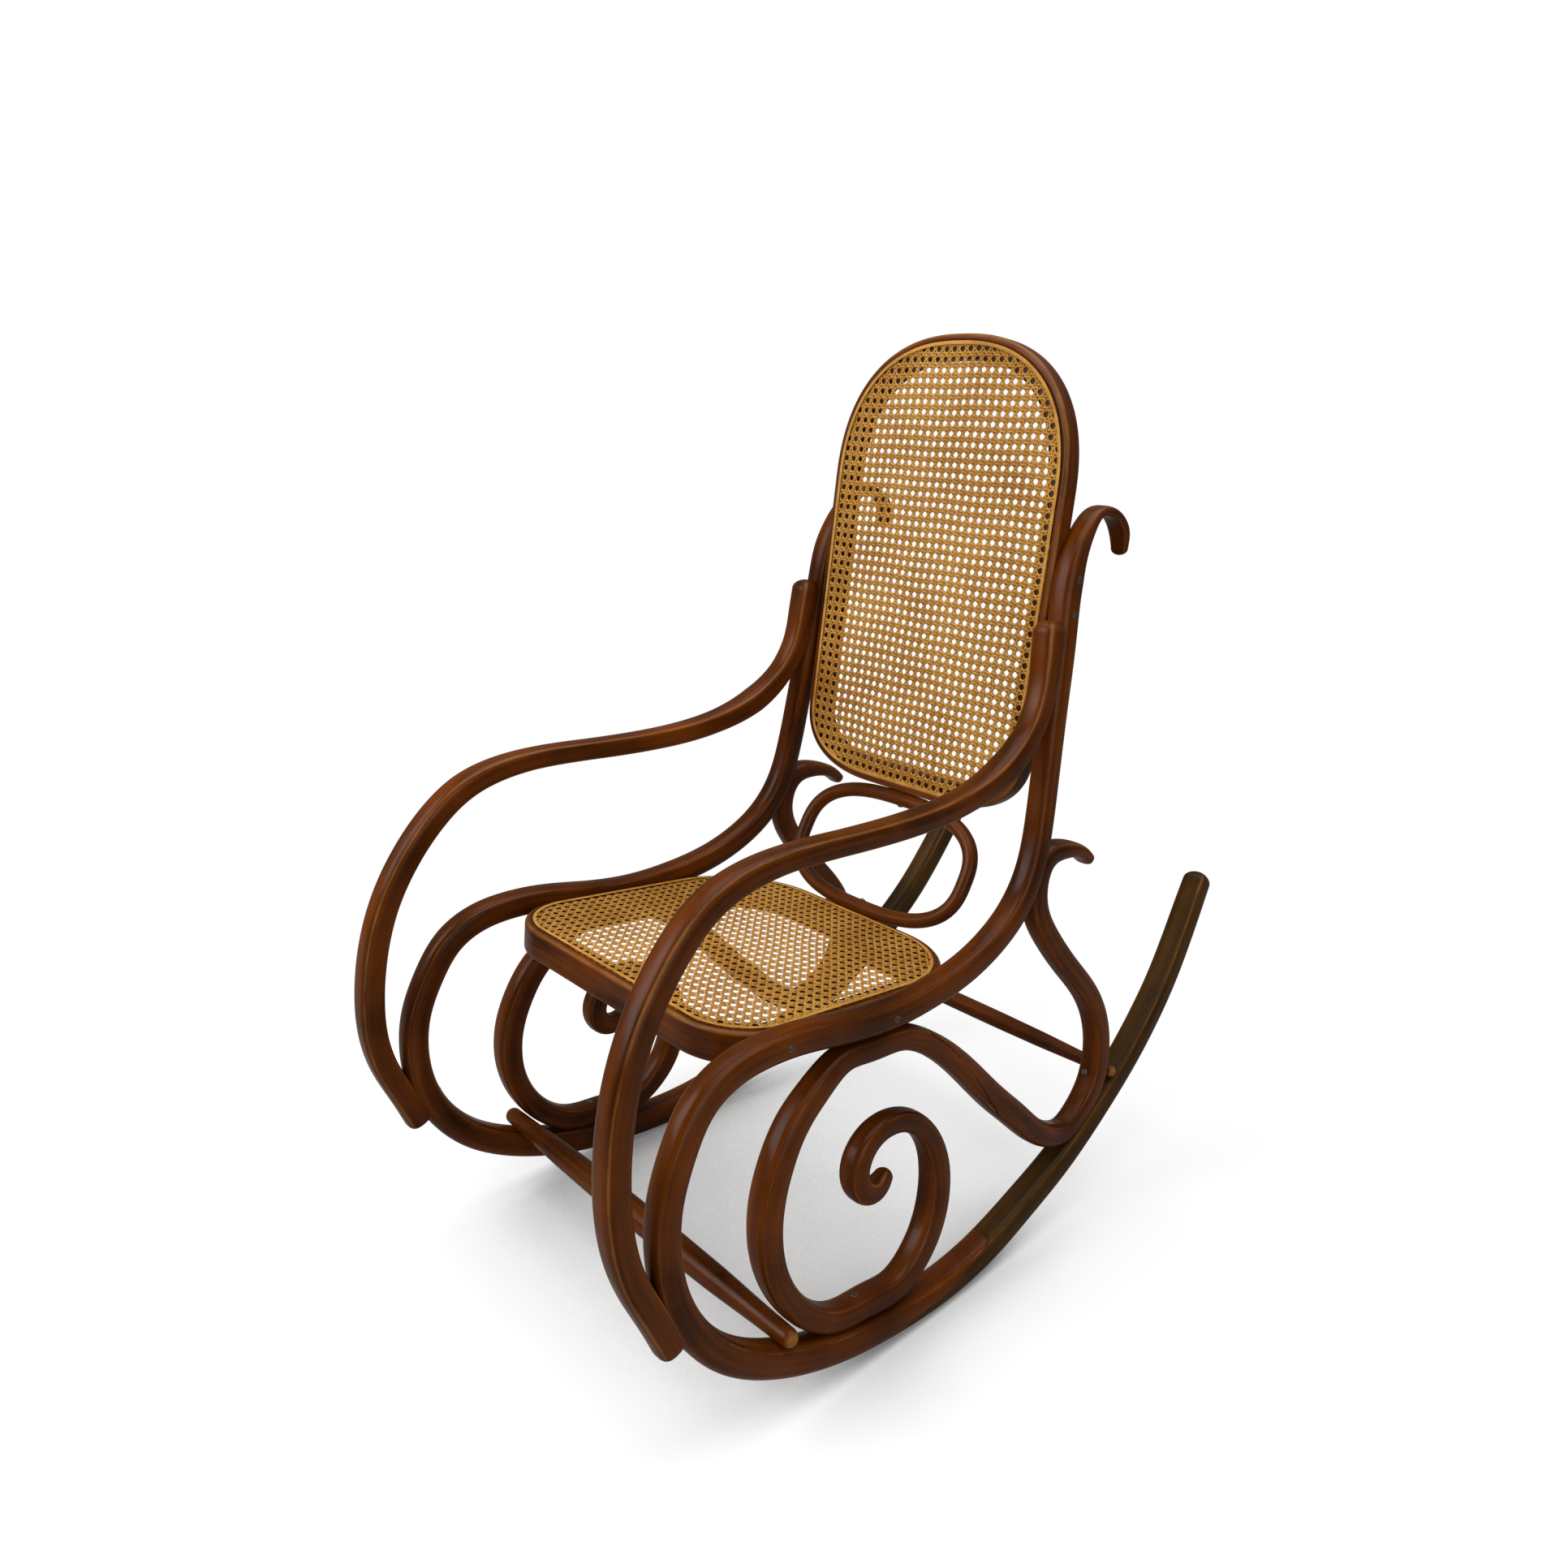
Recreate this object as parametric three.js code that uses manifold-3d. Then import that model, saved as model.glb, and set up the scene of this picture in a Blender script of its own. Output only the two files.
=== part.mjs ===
// A bentwood rocking chair with a caned seat and back.
// Millimetres, +Z up. The front of the chair faces -Y and the sitter's left is +X.
// Each side is flat: it is drawn once in side view (y, z), leans in towards the top and toes in
// towards the rear, and is mirrored.

import * as THREE from 'three';
import { mergeGeometries, mergeVertices } from 'three/addons/utils/BufferGeometryUtils.js';
import Module from 'manifold-3d';

const wasm = await Module();
wasm.setup();

// Driving dimensions
const clearance = 0.3;
const overrun = 4;
const sideReach = 1000;
const sideRodDiameter = 34;
const braceRodDiameter = 34;
const armRodDiameter = 32;
const floorHalfSpan = 269.7;
const toeIn = 23;
const scarfTip = 3;
const armLap = 8;
const braceLap = 8;
const rimLap = 5.5;

// Back panel: the rim leans back, and its foot is the middle of its lower edge's front face
const backHalfWidth = 190;
const backHeight = 584;
const backFootShare = [0.343, 0.541];
const backLean = 8.6;
const uprightExtraLean = 2;
const uprightFootSetback = 4.5;
const backCornerX = 150;
const backCornerY = 160;
const backFootCornerX = 95;
const backFootCornerY = 72;

// Seat: it slopes down to the rear from the top of its front edge
const seatDepth = 405;
const seatFrontShare = [-0.136, 0.437];
const seatSlope = 6.5;
const seatFrontCorner = 84;
const seatRearCorner = 130;

// Rims, cane and binder
const rimWidth = 30;
const seatRimHeight = 38;
const backRimDepth = 26;
const rimChamfer = 5;
const rimFace = 15;
const caneThickness = 2;
const binderWidth = 5;
const binderThickness = 1.2;
const canePitch = 38.1;
const caneStrand = 9;

// Ring between the seat and the back
const ringRodDiameter = 19.5;
const ringHalfWidth = 141;
const ringRoundness = 3.2;
const ringHeadSetback = 8;

// Stretchers
const frontStretcherDiameter = 34;
const frontStretcherEndDiameter = 21;
const rearStretcherDiameter = 25;
const rearStretcherEndDiameter = 16;
const stretcherProud = 6;

// Screws
const screwHeadDiameter = 9;
const screwHeadHeight = 2.4;
const screwShankDiameter = 4;
const screwSink = 1.2;
const screwBite = 12.5;

// How finely the round shapes are cut
const rodSides = 10;
const ringSides = 8;
const screwSides = 7;
const cornerSteps = 6;
const ringSteps = 28;
const longestStep = 72;
const largestTurn = THREE.MathUtils.degToRad(22);
const curveSamples = 600;

// The short flat under each runner on which the chair comes to rest
const restLength = 44;
const restRampLength = 18;

// Side view places, as shares of the side's reach from the floor and from the line y = 0.
// The third value of a rod's point is its thickness as a share of the rod's diameter.
const uprightShares = [0.84, 0.77, 0.69, 0.61];
const uprightThicknessShares = [1, 0.98, 0.95, 0.94];
const hookRadius = 43;
const hookSetback = 17;
const hookStartShare = 0.872;
const hookTurnShares = [-0.1, 0.12, 0.36, 0.6, 0.82];
const hookThicknessShares = [0.42, 0.62, 0.6, 0.6, 0.76];
const frameShares = [
  [0.3485, 0.551, 0.95],
  [0.333, 0.504, 0.97],
  [0.304, 0.464, 1],
  [0.261, 0.435, 1],
  [0.208, 0.416, 1],
  [0.141, 0.406, 1],
  [0.071, 0.405, 1],
  [-0.001, 0.415, 1],
  [-0.062, 0.427, 1],
  [-0.113, 0.431, 1],
  [-0.158, 0.426, 1],
  [-0.194, 0.408, 1],
  [-0.224, 0.368, 1],
  [-0.244, 0.321, 1],
  [-0.25, 0.269, 1],
  [-0.243, 0.218, 1.02],
  [-0.219, 0.164, 1.05],
  [-0.181, 0.118, 1.1],
  [-0.13, 0.082, 1.14],
  [-0.074, 0.056, 1.17],
  [-0.003, 0.035, 1.18],
  [0.073, 0.0235, 1.18],
];
const runnerShares = [
  [0.155, 0.0195, 1.18],
  [0.237, 0.029, 1.18],
  [0.315, 0.051, 1.16],
  [0.393, 0.078, 1.14],
  [0.445, 0.103, 1.14],
  [0.498, 0.133, 1.14],
  [0.551, 0.167, 1.14],
  [0.598, 0.204, 1.14],
  [0.641, 0.245, 1.13],
  [0.68, 0.293, 1.12],
  [0.716, 0.344, 1.1],
  [0.744, 0.384, 1.05],
];
const restShare = 0.164;
const scrollShares = [
  [0.065, 0.218, 0.5],
  [0.051, 0.201, 0.76],
  [0.032, 0.201, 0.86],
  [0.016, 0.214, 0.9],
  [0.01, 0.236, 0.92],
  [0.019, 0.257, 0.92],
  [0.039, 0.272, 0.88],
  [0.066, 0.275, 0.84],
  [0.094, 0.268, 0.8],
  [0.121, 0.247, 0.82],
  [0.139, 0.217, 0.92],
  [0.146, 0.181, 1.02],
  [0.141, 0.142, 1.06],
  [0.121, 0.105, 1.06],
  [0.091, 0.079, 1.04],
];
const scrollRestShares = [[0.056, 0.025], [0.019, 0.03]];
const scrollRestThicknessShare = 1.02;
const scrollFrontShares = [
  [-0.031, 0.076, 0.96],
  [-0.068, 0.1, 0.92],
  [-0.097, 0.136, 0.92],
  [-0.115, 0.175, 0.97],
  [-0.122, 0.218, 1.03],
  [-0.117, 0.262, 1.06],
  [-0.101, 0.301, 1.05],
  [-0.076, 0.337, 1.02],
  [-0.039, 0.363, 0.96],
];
const railContactShares = [[0.008, 0.413], [0.042, 0.409]];
const railContactThicknessShare = 0.86;
const braceDiagonalShares = [
  [0.088, 0.372, 0.86],
  [0.13, 0.351, 0.88],
  [0.172, 0.317, 0.94],
  [0.215, 0.272, 1],
  [0.262, 0.221, 1.04],
  [0.3, 0.182, 1.04],
  [0.336, 0.149, 1],
];
const braceRestShares = [[0.394, 0.078], [0.424, 0.094]];
const braceRestThicknessShare = 0.94;
const braceLoopShares = [
  [0.463, 0.159, 1.02],
  [0.479, 0.19, 1],
  [0.483, 0.225, 0.97],
  [0.473, 0.266, 0.95],
  [0.449, 0.305, 0.93],
  [0.418, 0.34, 0.92],
  [0.39, 0.372, 0.92],
  [0.366, 0.403, 0.92],
];
const bendContactShares = [[0.316, 0.484], [0.338, 0.52]];
const bendContactThicknessShare = 0.9;
const braceHookShares = [
  [0.393, 0.511, 0.84],
  [0.417, 0.506, 0.76],
  [0.44, 0.494, 0.7],
  [0.453, 0.48, 0.62],
];
const armTopShares = [[0.395, 0.793], [0.388, 0.75]];
const armTopThicknessShare = 1.06;
const armShares = [
  [0.352, 0.712, 0.98],
  [0.325, 0.669, 0.96],
  [0.279, 0.637, 1.06],
  [0.211, 0.617, 0.94],
  [0.113, 0.611, 0.88],
  [0.011, 0.616, 0.84],
  [-0.071, 0.62, 0.86],
  [-0.122, 0.616, 0.92],
  [-0.168, 0.602, 0.98],
  [-0.208, 0.573, 1],
  [-0.244, 0.531, 1],
  [-0.274, 0.478, 1],
  [-0.295, 0.406, 1.02],
  [-0.301, 0.352, 1.02],
  [-0.299, 0.304, 1],
  [-0.287, 0.256, 0.98],
];
const armFootShares = [[-0.243, 0.218], [-0.225, 0.176]];
const armFootThicknessShare = 1;
const armWidthShare = 1.04;

// Where the scarfs and the fasteners are, in the same shares
const runnerScarfShares = [[0.027, 0.028], [0.237, 0.031]];
const diagonalScarfShares = [[0.125, 0.354], [0.265, 0.218]];
const frontStretcherShare = [-0.123, 0.078];
const rearStretcherShares = [0.503, 0.181];
const armTopScrewShare = [0.391, 0.77];
const armFootScrewShare = [-0.235, 0.197];
const scrollRunnerScrewShare = [0.002, 0.065];
const scrollRailScrewShare = [0.025, 0.38];
const braceRunnerScrewShare = [0.395, 0.12];
const braceUprightScrewShare = [0.355, 0.484];
const backScrewShares = [[0.396, 0.8], [0.403, 0.84]];
const seatScrewShares = [[-0.086, 0.428], [0.071, 0.405]];

// Where each side touches the back's rim, and the seat's rim at its front and rear
const backTouchShare = [0.405, 0.852];
const seatTouchShares = [[-0.086, 0.428], [0.13, 0.4055]];

// Domes and tapers
const domeShares = [[0, 0.45], [0.2, 0.74], [0.55, 0.94]];
const stretcherShares = [[0, 0], [0.2, 0.24], [0.45, 0.72], [0.75, 0.96], [1, 1]];
const diagonal = Math.SQRT1_2;

const backRadians = THREE.MathUtils.degToRad(backLean);
const uprightRadians = THREE.MathUtils.degToRad(backLean + uprightExtraLean);
const seatRadians = THREE.MathUtils.degToRad(seatSlope);

const backFootY = backFootShare[0] * sideReach;
const backFootZ = backFootShare[1] * sideReach;
const seatFrontY = seatFrontShare[0] * sideReach;
const seatFrontZ = seatFrontShare[1] * sideReach;

// The sides lean in so that their uprights touch the back's rim under their hooks
const uprightReach = sideRodDiameter / 2 / Math.cos(Math.PI / rodSides) + clearance;
const contactHalfSpan = backHalfWidth + uprightReach - rimLap;
const contactHeight = backTouchShare[1] * sideReach;
const contactToeIn = toeIn * backTouchShare[0];

// Half the distance between the two flat sides at a place in side view
function halfSpan(y, z) {
  const lean = floorHalfSpan - contactToeIn - contactHalfSpan;
  return floorHalfSpan - toeIn * y / sideReach - lean * z / contactHeight;
}

// The line of a bent rod: a natural cubic spline through side view points (y, z, diameter)
class BentLine extends THREE.Curve {
  constructor(points) {
    super();
    this.points = points;
    this.arcLengthDivisions = curveSamples;
    this.level = null;
    this.knots = [0];
    for (let i = 1; i < points.length; i += 1) {
      const step = Math.hypot(points[i].y - points[i - 1].y, points[i].z - points[i - 1].z);
      this.knots.push(this.knots[i - 1] + step);
    }
    this.bends = { y: this.secondDerivatives('y'), z: this.secondDerivatives('z') };
  }

  // The tridiagonal system of a natural spline, solved by elimination
  secondDerivatives(key) {
    const count = this.points.length;
    const bends = new Array(count).fill(0);
    const carried = new Array(count).fill(0);
    for (let i = 1; i < count - 1; i += 1) {
      const before = this.knots[i] - this.knots[i - 1];
      const after = this.knots[i + 1] - this.knots[i];
      const slopeAfter = (this.points[i + 1][key] - this.points[i][key]) / after;
      const slopeBefore = (this.points[i][key] - this.points[i - 1][key]) / before;
      const pivot = 2 * (before + after) - before * carried[i - 1];
      carried[i] = after / pivot;
      bends[i] = (6 * (slopeAfter - slopeBefore) - before * bends[i - 1]) / pivot;
    }
    for (let i = count - 2; i > 0; i -= 1) {
      bends[i] -= carried[i] * bends[i + 1];
    }
    return bends;
  }

  span(t) {
    const place = t * this.knots[this.knots.length - 1];
    let i = 1;
    while (i < this.knots.length - 1 && this.knots[i] < place) {
      i += 1;
    }
    const width = this.knots[i] - this.knots[i - 1];
    return { i, width, share: (place - this.knots[i - 1]) / width };
  }

  along(key, t) {
    const { i, width, share } = this.span(t);
    const rest = 1 - share;
    const bend = (rest ** 3 - rest) * this.bends[key][i - 1] + (share ** 3 - share) * this.bends[key][i];
    return rest * this.points[i - 1][key] + share * this.points[i][key] + bend * width * width / 6;
  }

  getPoint(t) {
    const y = this.along('y', t);
    const z = this.along('z', t);
    return new THREE.Vector3(halfSpan(y, z), y, z);
  }

  diameterAt(u) {
    const { i, share } = this.span(this.getUtoTmapping(u));
    return THREE.MathUtils.lerp(this.points[i - 1].diameter, this.points[i].diameter, share);
  }

  // Centre, tangent, side axis and in-plane axis. The last lies left of the way the line runs.
  frameAt(u) {
    const centre = this.getPointAt(u);
    const tangent = this.getTangentAt(u);
    if (this.onLevel(u)) {
      centre.z = this.level.height;
      tangent.set(0, 1, 0);
    }
    const side = new THREE.Vector3(1, 0, 0);
    side.addScaledVector(tangent, -side.dot(tangent)).normalize();
    const inward = new THREE.Vector3().crossVectors(side, tangent);
    return { centre, tangent, side, inward };
  }

  // True on the short stretch where the line runs level over the floor
  onLevel(u) {
    return this.level !== null && Math.abs(u - this.level.middle) < this.level.reach;
  }

  // The share of the length at which the line passes nearest to a side view place
  nearest(y, z) {
    let best = 0;
    let least = Infinity;
    for (let i = 0; i <= curveSamples; i += 1) {
      const point = this.getPointAt(i / curveSamples);
      const distance = Math.hypot(point.y - y, point.z - z);
      if (distance < least) {
        least = distance;
        best = i / curveSamples;
      }
    }
    return best;
  }
}

function sharePoints(shares, diameter) {
  return shares.map(([y, z, thickness]) => (
    { y: y * sideReach, z: z * sideReach, diameter: thickness * diameter }
  ));
}

function nearestShare(line, [y, z]) {
  return line.nearest(y * sideReach, z * sideReach);
}

// A point where a rod of a diameter lies against another rod's line, on one side of it, or is let
// into it by a lap
function besideLine(line, place, diameter, hand, lap = 0) {
  const u = nearestShare(line, place);
  const { centre, inward } = line.frameAt(u);
  const distance = (line.diameterAt(u) + diameter) / 2 + clearance - lap;
  return {
    y: centre.y + hand * distance * inward.y,
    z: centre.z + hand * distance * inward.z,
    diameter,
  };
}

function besidePoints(line, places, diameter, hand, lap) {
  return places.map((place) => besideLine(line, place, diameter, hand, lap));
}

// The upright leans a little more than the back panel and is let into the side of its rim
function uprightPoint(heightShare, thickness) {
  const z = heightShare * sideReach;
  const y = backFootY + (z - backFootZ) * Math.tan(uprightRadians) + uprightFootSetback;
  return { y, z, diameter: thickness * sideRodDiameter };
}

// The hook at the top of the upright: half a turn and a little more, over to the rear
function hookPoint(turnShare, thickness) {
  const start = uprightPoint(hookStartShare, 1);
  const angle = Math.PI * turnShare;
  return {
    y: start.y + hookSetback + hookRadius + hookRadius * Math.cos(angle),
    z: start.z + hookRadius * Math.sin(angle),
    diameter: thickness * sideRodDiameter,
  };
}

function sideLinePoints() {
  return [
    ...hookTurnShares.map((turn, i) => hookPoint(turn, hookThicknessShares[i])),
    ...uprightShares.map((height, i) => uprightPoint(height, uprightThicknessShares[i])),
    ...sharePoints(frameShares, sideRodDiameter),
    ...sharePoints(runnerShares, sideRodDiameter),
  ];
}

function braceLinePoints(sideLine) {
  const diameter = braceRodDiameter;
  return [
    ...sharePoints(scrollShares, diameter),
    ...besidePoints(sideLine, scrollRestShares, scrollRestThicknessShare * diameter, 1),
    ...sharePoints(scrollFrontShares, diameter),
    ...besidePoints(sideLine, railContactShares, railContactThicknessShare * diameter, 1),
    ...sharePoints(braceDiagonalShares, diameter),
    ...besidePoints(sideLine, braceRestShares, braceRestThicknessShare * diameter, 1),
    ...sharePoints(braceLoopShares, diameter),
    ...besidePoints(sideLine, bendContactShares, bendContactThicknessShare * diameter, 1, braceLap),
    ...sharePoints(braceHookShares, diameter),
  ];
}

function armLinePoints(sideLine) {
  const diameter = armRodDiameter;
  return [
    ...besidePoints(sideLine, armTopShares, armTopThicknessShare * diameter, -1, armLap),
    ...sharePoints(armShares, diameter),
    ...besidePoints(sideLine, armFootShares, armFootThicknessShare * diameter, -1, armLap),
  ];
}

// Closed body from rings of equal count, capped at both ends
function bodyFromRings(rings) {
  const count = rings[0].length;
  const positions = [];
  const index = [];
  rings.forEach((ring) => ring.forEach((point) => positions.push(point.x, point.y, point.z)));
  for (let r = 0; r < rings.length - 1; r += 1) {
    for (let i = 0; i < count; i += 1) {
      const here = r * count + i;
      const next = r * count + (i + 1) % count;
      index.push(here, next + count, next, here, here + count, next + count);
    }
  }
  [0, rings.length - 1].forEach((r) => {
    const middle = new THREE.Vector3();
    rings[r].forEach((point) => middle.addScaledVector(point, 1 / count));
    const centre = positions.length / 3;
    positions.push(middle.x, middle.y, middle.z);
    for (let i = 0; i < count; i += 1) {
      const here = r * count + i;
      const next = r * count + (i + 1) % count;
      index.push(centre, r === 0 ? here : next, r === 0 ? next : here);
    }
  });
  const geometry = new THREE.BufferGeometry();
  geometry.setAttribute('position', new THREE.Float32BufferAttribute(positions, 3));
  geometry.setIndex(index);
  return geometry;
}

// One section of a rod, its flats facing up and down in the plane of the side.
// A cut keeps only what lies on one hand of a height over the centre line.
function rodSection({ centre, side, inward }, halfWidth, halfHeight, cut) {
  const corner = 1 / Math.cos(Math.PI / rodSides);
  const places = [];
  for (let i = 0; i < rodSides; i += 1) {
    const angle = i / rodSides * 2 * Math.PI;
    places.push({ across: corner * Math.cos(angle), up: corner * Math.sin(angle) });
  }
  if (cut) {
    const height = cut.height / halfHeight;
    const removed = places.filter(({ up }) => (up - height) * cut.hand < 0);
    const widest = Math.max(...removed.map(({ across }) => Math.abs(across)));
    const edge = Math.sqrt(corner * corner - height * height);
    removed.forEach((place) => {
      place.across *= edge / widest;
      place.up = height;
    });
  }
  return places.map(({ across, up }) => {
    const point = centre.clone();
    point.addScaledVector(side, across * halfWidth);
    return point.addScaledVector(inward, up * halfHeight);
  });
}

// Stations along a line, closer together where it turns
function stationsAlong(line, from, to) {
  const costs = [0];
  let before = line.getTangentAt(from);
  for (let i = 1; i <= curveSamples; i += 1) {
    const tangent = line.getTangentAt(from + (to - from) * i / curveSamples);
    const length = (to - from) * line.getLength() / curveSamples;
    costs.push(costs[i - 1] + length / longestStep + tangent.angleTo(before) / largestTurn);
    before = tangent;
  }
  const steps = Math.ceil(costs[curveSamples]);
  const stations = [from];
  let i = 1;
  for (let step = 1; step < steps; step += 1) {
    while (costs[i] < costs[curveSamples] * step / steps) {
      i += 1;
    }
    stations.push(from + (to - from) * i / curveSamples);
  }
  stations.push(to);
  return line.level ? withLevelEnds(stations, line) : stations;
}

// The same stations with one at each end of the level stretch and none in it
function withLevelEnds(stations, line) {
  const { middle, reach, ramp } = line.level;
  const ends = [middle - reach * (1 - ramp), middle + reach * (1 - ramp)];
  const kept = stations.filter((u) => Math.abs(u - middle) > reach * (1 + ramp));
  const within = ends.filter((u) => u > stations[0] && u < stations[stations.length - 1]);
  return [...kept, ...within].sort((a, b) => a - b);
}

// A scarf parts a rod by a slanting face, from one skin of it to the other
function scarfCut(line, scarf, u, hand, grow) {
  const share = THREE.MathUtils.clamp((u - scarf.start) / (scarf.end - scarf.start), 0, 1);
  const reach = line.diameterAt(u) / 2 - scarfTip;
  const face = scarf.hand * THREE.MathUtils.lerp(-reach, reach, share);
  return { hand: hand * scarf.hand, height: face + hand * scarf.hand * (clearance / 2 - grow) };
}

// The stations of a rod's piece, each with its scale and its cut's hand: 1 before a scarf, -1 after it
function pieceStations(line, scarf, piece) {
  const gap = clearance / line.getLength();
  const tip = (u) => line.diameterAt(u) / 2 / line.getLength();
  const whole = (u) => ({ u, scale: 1, hand: 0 });
  const dome = (u, direction) => {
    const steps = domeShares.map(([share, scale]) => ({ u: u + direction * share * tip(u), scale, hand: 0 }));
    return direction > 0 ? steps : steps.reverse();
  };
  if (piece === 'whole') {
    return [...dome(0, 1), ...stationsAlong(line, tip(0), 1 - tip(1)).map(whole), ...dome(1, -1)];
  }
  const lap = stationsAlong(line, scarf.start, scarf.end);
  if (piece === 'first') {
    const before = stationsAlong(line, tip(0), scarf.start - gap);
    lap[lap.length - 1] -= gap;
    return [...dome(0, 1), ...before.map(whole), ...lap.map((u) => ({ u, scale: 1, hand: 1 }))];
  }
  const after = stationsAlong(line, scarf.end + gap, 1 - tip(1));
  lap[0] += gap;
  return [...lap.map((u) => ({ u, scale: 1, hand: -1 })), ...after.map(whole), ...dome(1, -1)];
}

// A bent rod, or one of the two pieces that a scarf parts it into. Grown, it cuts its own seat.
function rodGeometry(line, { scarf, piece = 'whole', widthShare = 1, grow = 0 }) {
  const rings = pieceStations(line, scarf, piece).map(({ u, scale, hand }) => {
    const half = line.diameterAt(u) / 2 * scale + grow;
    const cut = hand === 0 ? null : scarfCut(line, scarf, u, hand, grow);
    return rodSection(line.frameAt(u), half * widthShare, half, cut);
  });
  return bodyFromRings(rings);
}

// A rounded outline with its outward normals, from four quarter ellipses (cx, cy, rx, ry)
function roundedOutline(corners) {
  const outline = [];
  corners.forEach(({ x, y, radiusX, radiusY }, quarter) => {
    for (let i = 0; i <= cornerSteps; i += 1) {
      const angle = (quarter + i / cornerSteps) * Math.PI / 2;
      const point = new THREE.Vector2(x + radiusX * Math.cos(angle), y + radiusY * Math.sin(angle));
      const normal = new THREE.Vector2(radiusY * Math.cos(angle), radiusX * Math.sin(angle)).normalize();
      outline.push({ point, normal });
    }
  });
  return outline;
}

function backOutline() {
  const footX = backHalfWidth - backFootCornerX;
  const topX = backHalfWidth - backCornerX;
  const topY = backHeight - backCornerY;
  const top = { radiusX: backCornerX, radiusY: backCornerY };
  const foot = { radiusX: backFootCornerX, radiusY: backFootCornerY };
  return roundedOutline([
    { x: topX, y: topY, ...top },
    { x: -topX, y: topY, ...top },
    { x: -footX, y: backFootCornerY, ...foot },
    { x: footX, y: backFootCornerY, ...foot },
  ]);
}

// The seat's rim passes between the two rails, which touch it from outside
function seatTouches(sideLine) {
  return seatTouchShares.map((place) => {
    const u = nearestShare(sideLine, place);
    const { centre } = sideLine.frameAt(u);
    const reach = sideLine.diameterAt(u) / 2 / Math.cos(Math.PI / rodSides) + clearance;
    return { x: centre.x - reach, y: (centre.y - seatFrontY) / Math.cos(seatRadians) };
  });
}

// The seat narrows to the rear as the rails do
function seatOutline([frontTouch, rearTouch]) {
  const front = { radiusX: seatFrontCorner, radiusY: seatFrontCorner };
  const rear = { radiusX: seatRearCorner, radiusY: seatRearCorner };
  const rearX = frontTouch.x - seatRearCorner;
  const frontX = frontTouch.x - seatFrontCorner;
  const outline = roundedOutline([
    { x: rearX, y: seatDepth - seatRearCorner, ...rear },
    { x: -rearX, y: seatDepth - seatRearCorner, ...rear },
    { x: -frontX, y: seatFrontCorner, ...front },
    { x: frontX, y: seatFrontCorner, ...front },
  ]);
  const taper = (1 - rearTouch.x / frontTouch.x) / (rearTouch.y - frontTouch.y);
  outline.forEach(({ point }) => {
    point.x *= 1 - taper * (point.y - frontTouch.y);
  });
  return outline;
}

// A closed band that carries a profile (inset, height) round an outline
function bandGeometry(outline, profile) {
  const positions = [];
  const index = [];
  const count = profile.length;
  outline.forEach(({ point, normal }) => {
    profile.forEach(([inset, height]) => {
      positions.push(point.x - normal.x * inset, point.y - normal.y * inset, height);
    });
  });
  outline.forEach((unused, k) => {
    const ring = k * count;
    const nextRing = (k + 1) % outline.length * count;
    for (let i = 0; i < count; i += 1) {
      const j = (i + 1) % count;
      index.push(ring + i, nextRing + j, nextRing + i, ring + i, ring + j, nextRing + j);
    }
  });
  const geometry = new THREE.BufferGeometry();
  geometry.setAttribute('position', new THREE.Float32BufferAttribute(positions, 3));
  geometry.setIndex(index);
  return geometry;
}

// The rim's profile: rounded outside, with a shallow rebate inside that holds the cane
function rimProfile(depth) {
  const rebate = caneThickness + clearance;
  const softInside = rimChamfer / 2;
  return [
    [0, -depth + rimChamfer],
    [rimChamfer, -depth],
    [rimWidth - softInside, -depth],
    [rimWidth, -depth + softInside],
    [rimWidth, -rebate - softInside],
    [rimWidth - softInside, -rebate],
    [rimFace, -rebate],
    [rimFace, 0],
    [rimChamfer, 0],
    [0, -rimChamfer],
  ];
}

function rimGeometry(outline, depth) {
  return bandGeometry(outline, rimProfile(depth));
}

// The flat strip that covers the edge of the cane
function binderGeometry(outline) {
  const outer = rimFace + clearance;
  return bandGeometry(outline, [
    [outer, clearance],
    [outer + binderWidth, clearance],
    [outer + binderWidth, clearance + binderThickness],
    [outer, clearance + binderThickness],
  ]);
}

// A cane panel: a flat net that lies in the rim's rebate, with square gaps over the opening
function caneGeometry(outline) {
  const edge = insetOutline(outline, rimFace + clearance);
  const opening = insetOutline(outline, rimWidth);
  const sheet = new THREE.ExtrudeGeometry(new THREE.Shape(edge), { depth: caneThickness, bevelEnabled: false });
  sheet.translate(0, 0, -caneThickness);
  const gap = canePitch - caneStrand;
  const bounds = new THREE.Box2().setFromPoints(opening);
  const middle = bounds.getCenter(new THREE.Vector2());
  const columns = Math.floor((bounds.max.x - middle.x) / canePitch);
  const rows = Math.floor((bounds.max.y - middle.y) / canePitch);
  const gaps = [];
  for (let row = -rows; row <= rows; row += 1) {
    for (let column = -columns; column <= columns; column += 1) {
      const x = middle.x + column * canePitch;
      const y = middle.y + row * canePitch;
      if (squareCorners(x, y, gap).every((corner) => insideOutline(corner, opening))) {
        gaps.push(new THREE.BoxGeometry(gap, gap, caneThickness + 2 * overrun).translate(x, y, 0));
      }
    }
  }
  return cutGeometry(sheet, [mergeGeometries(gaps)]);
}

function insetOutline(outline, inset) {
  return outline.map(({ point, normal }) => point.clone().addScaledVector(normal, -inset));
}

function squareCorners(x, y, size) {
  const half = size / 2;
  return [[-half, -half], [-half, half], [half, half], [half, -half]].map(([dx, dy]) => (
    new THREE.Vector2(x + dx, y + dy)
  ));
}

// True where a corner lies left of every edge of a convex outline
function insideOutline(corner, outline) {
  return outline.every((point, i) => {
    const next = outline[(i + 1) % outline.length];
    const turn = (next.x - point.x) * (corner.y - point.y) - (next.y - point.y) * (corner.x - point.x);
    return turn > 0;
  });
}

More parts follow.
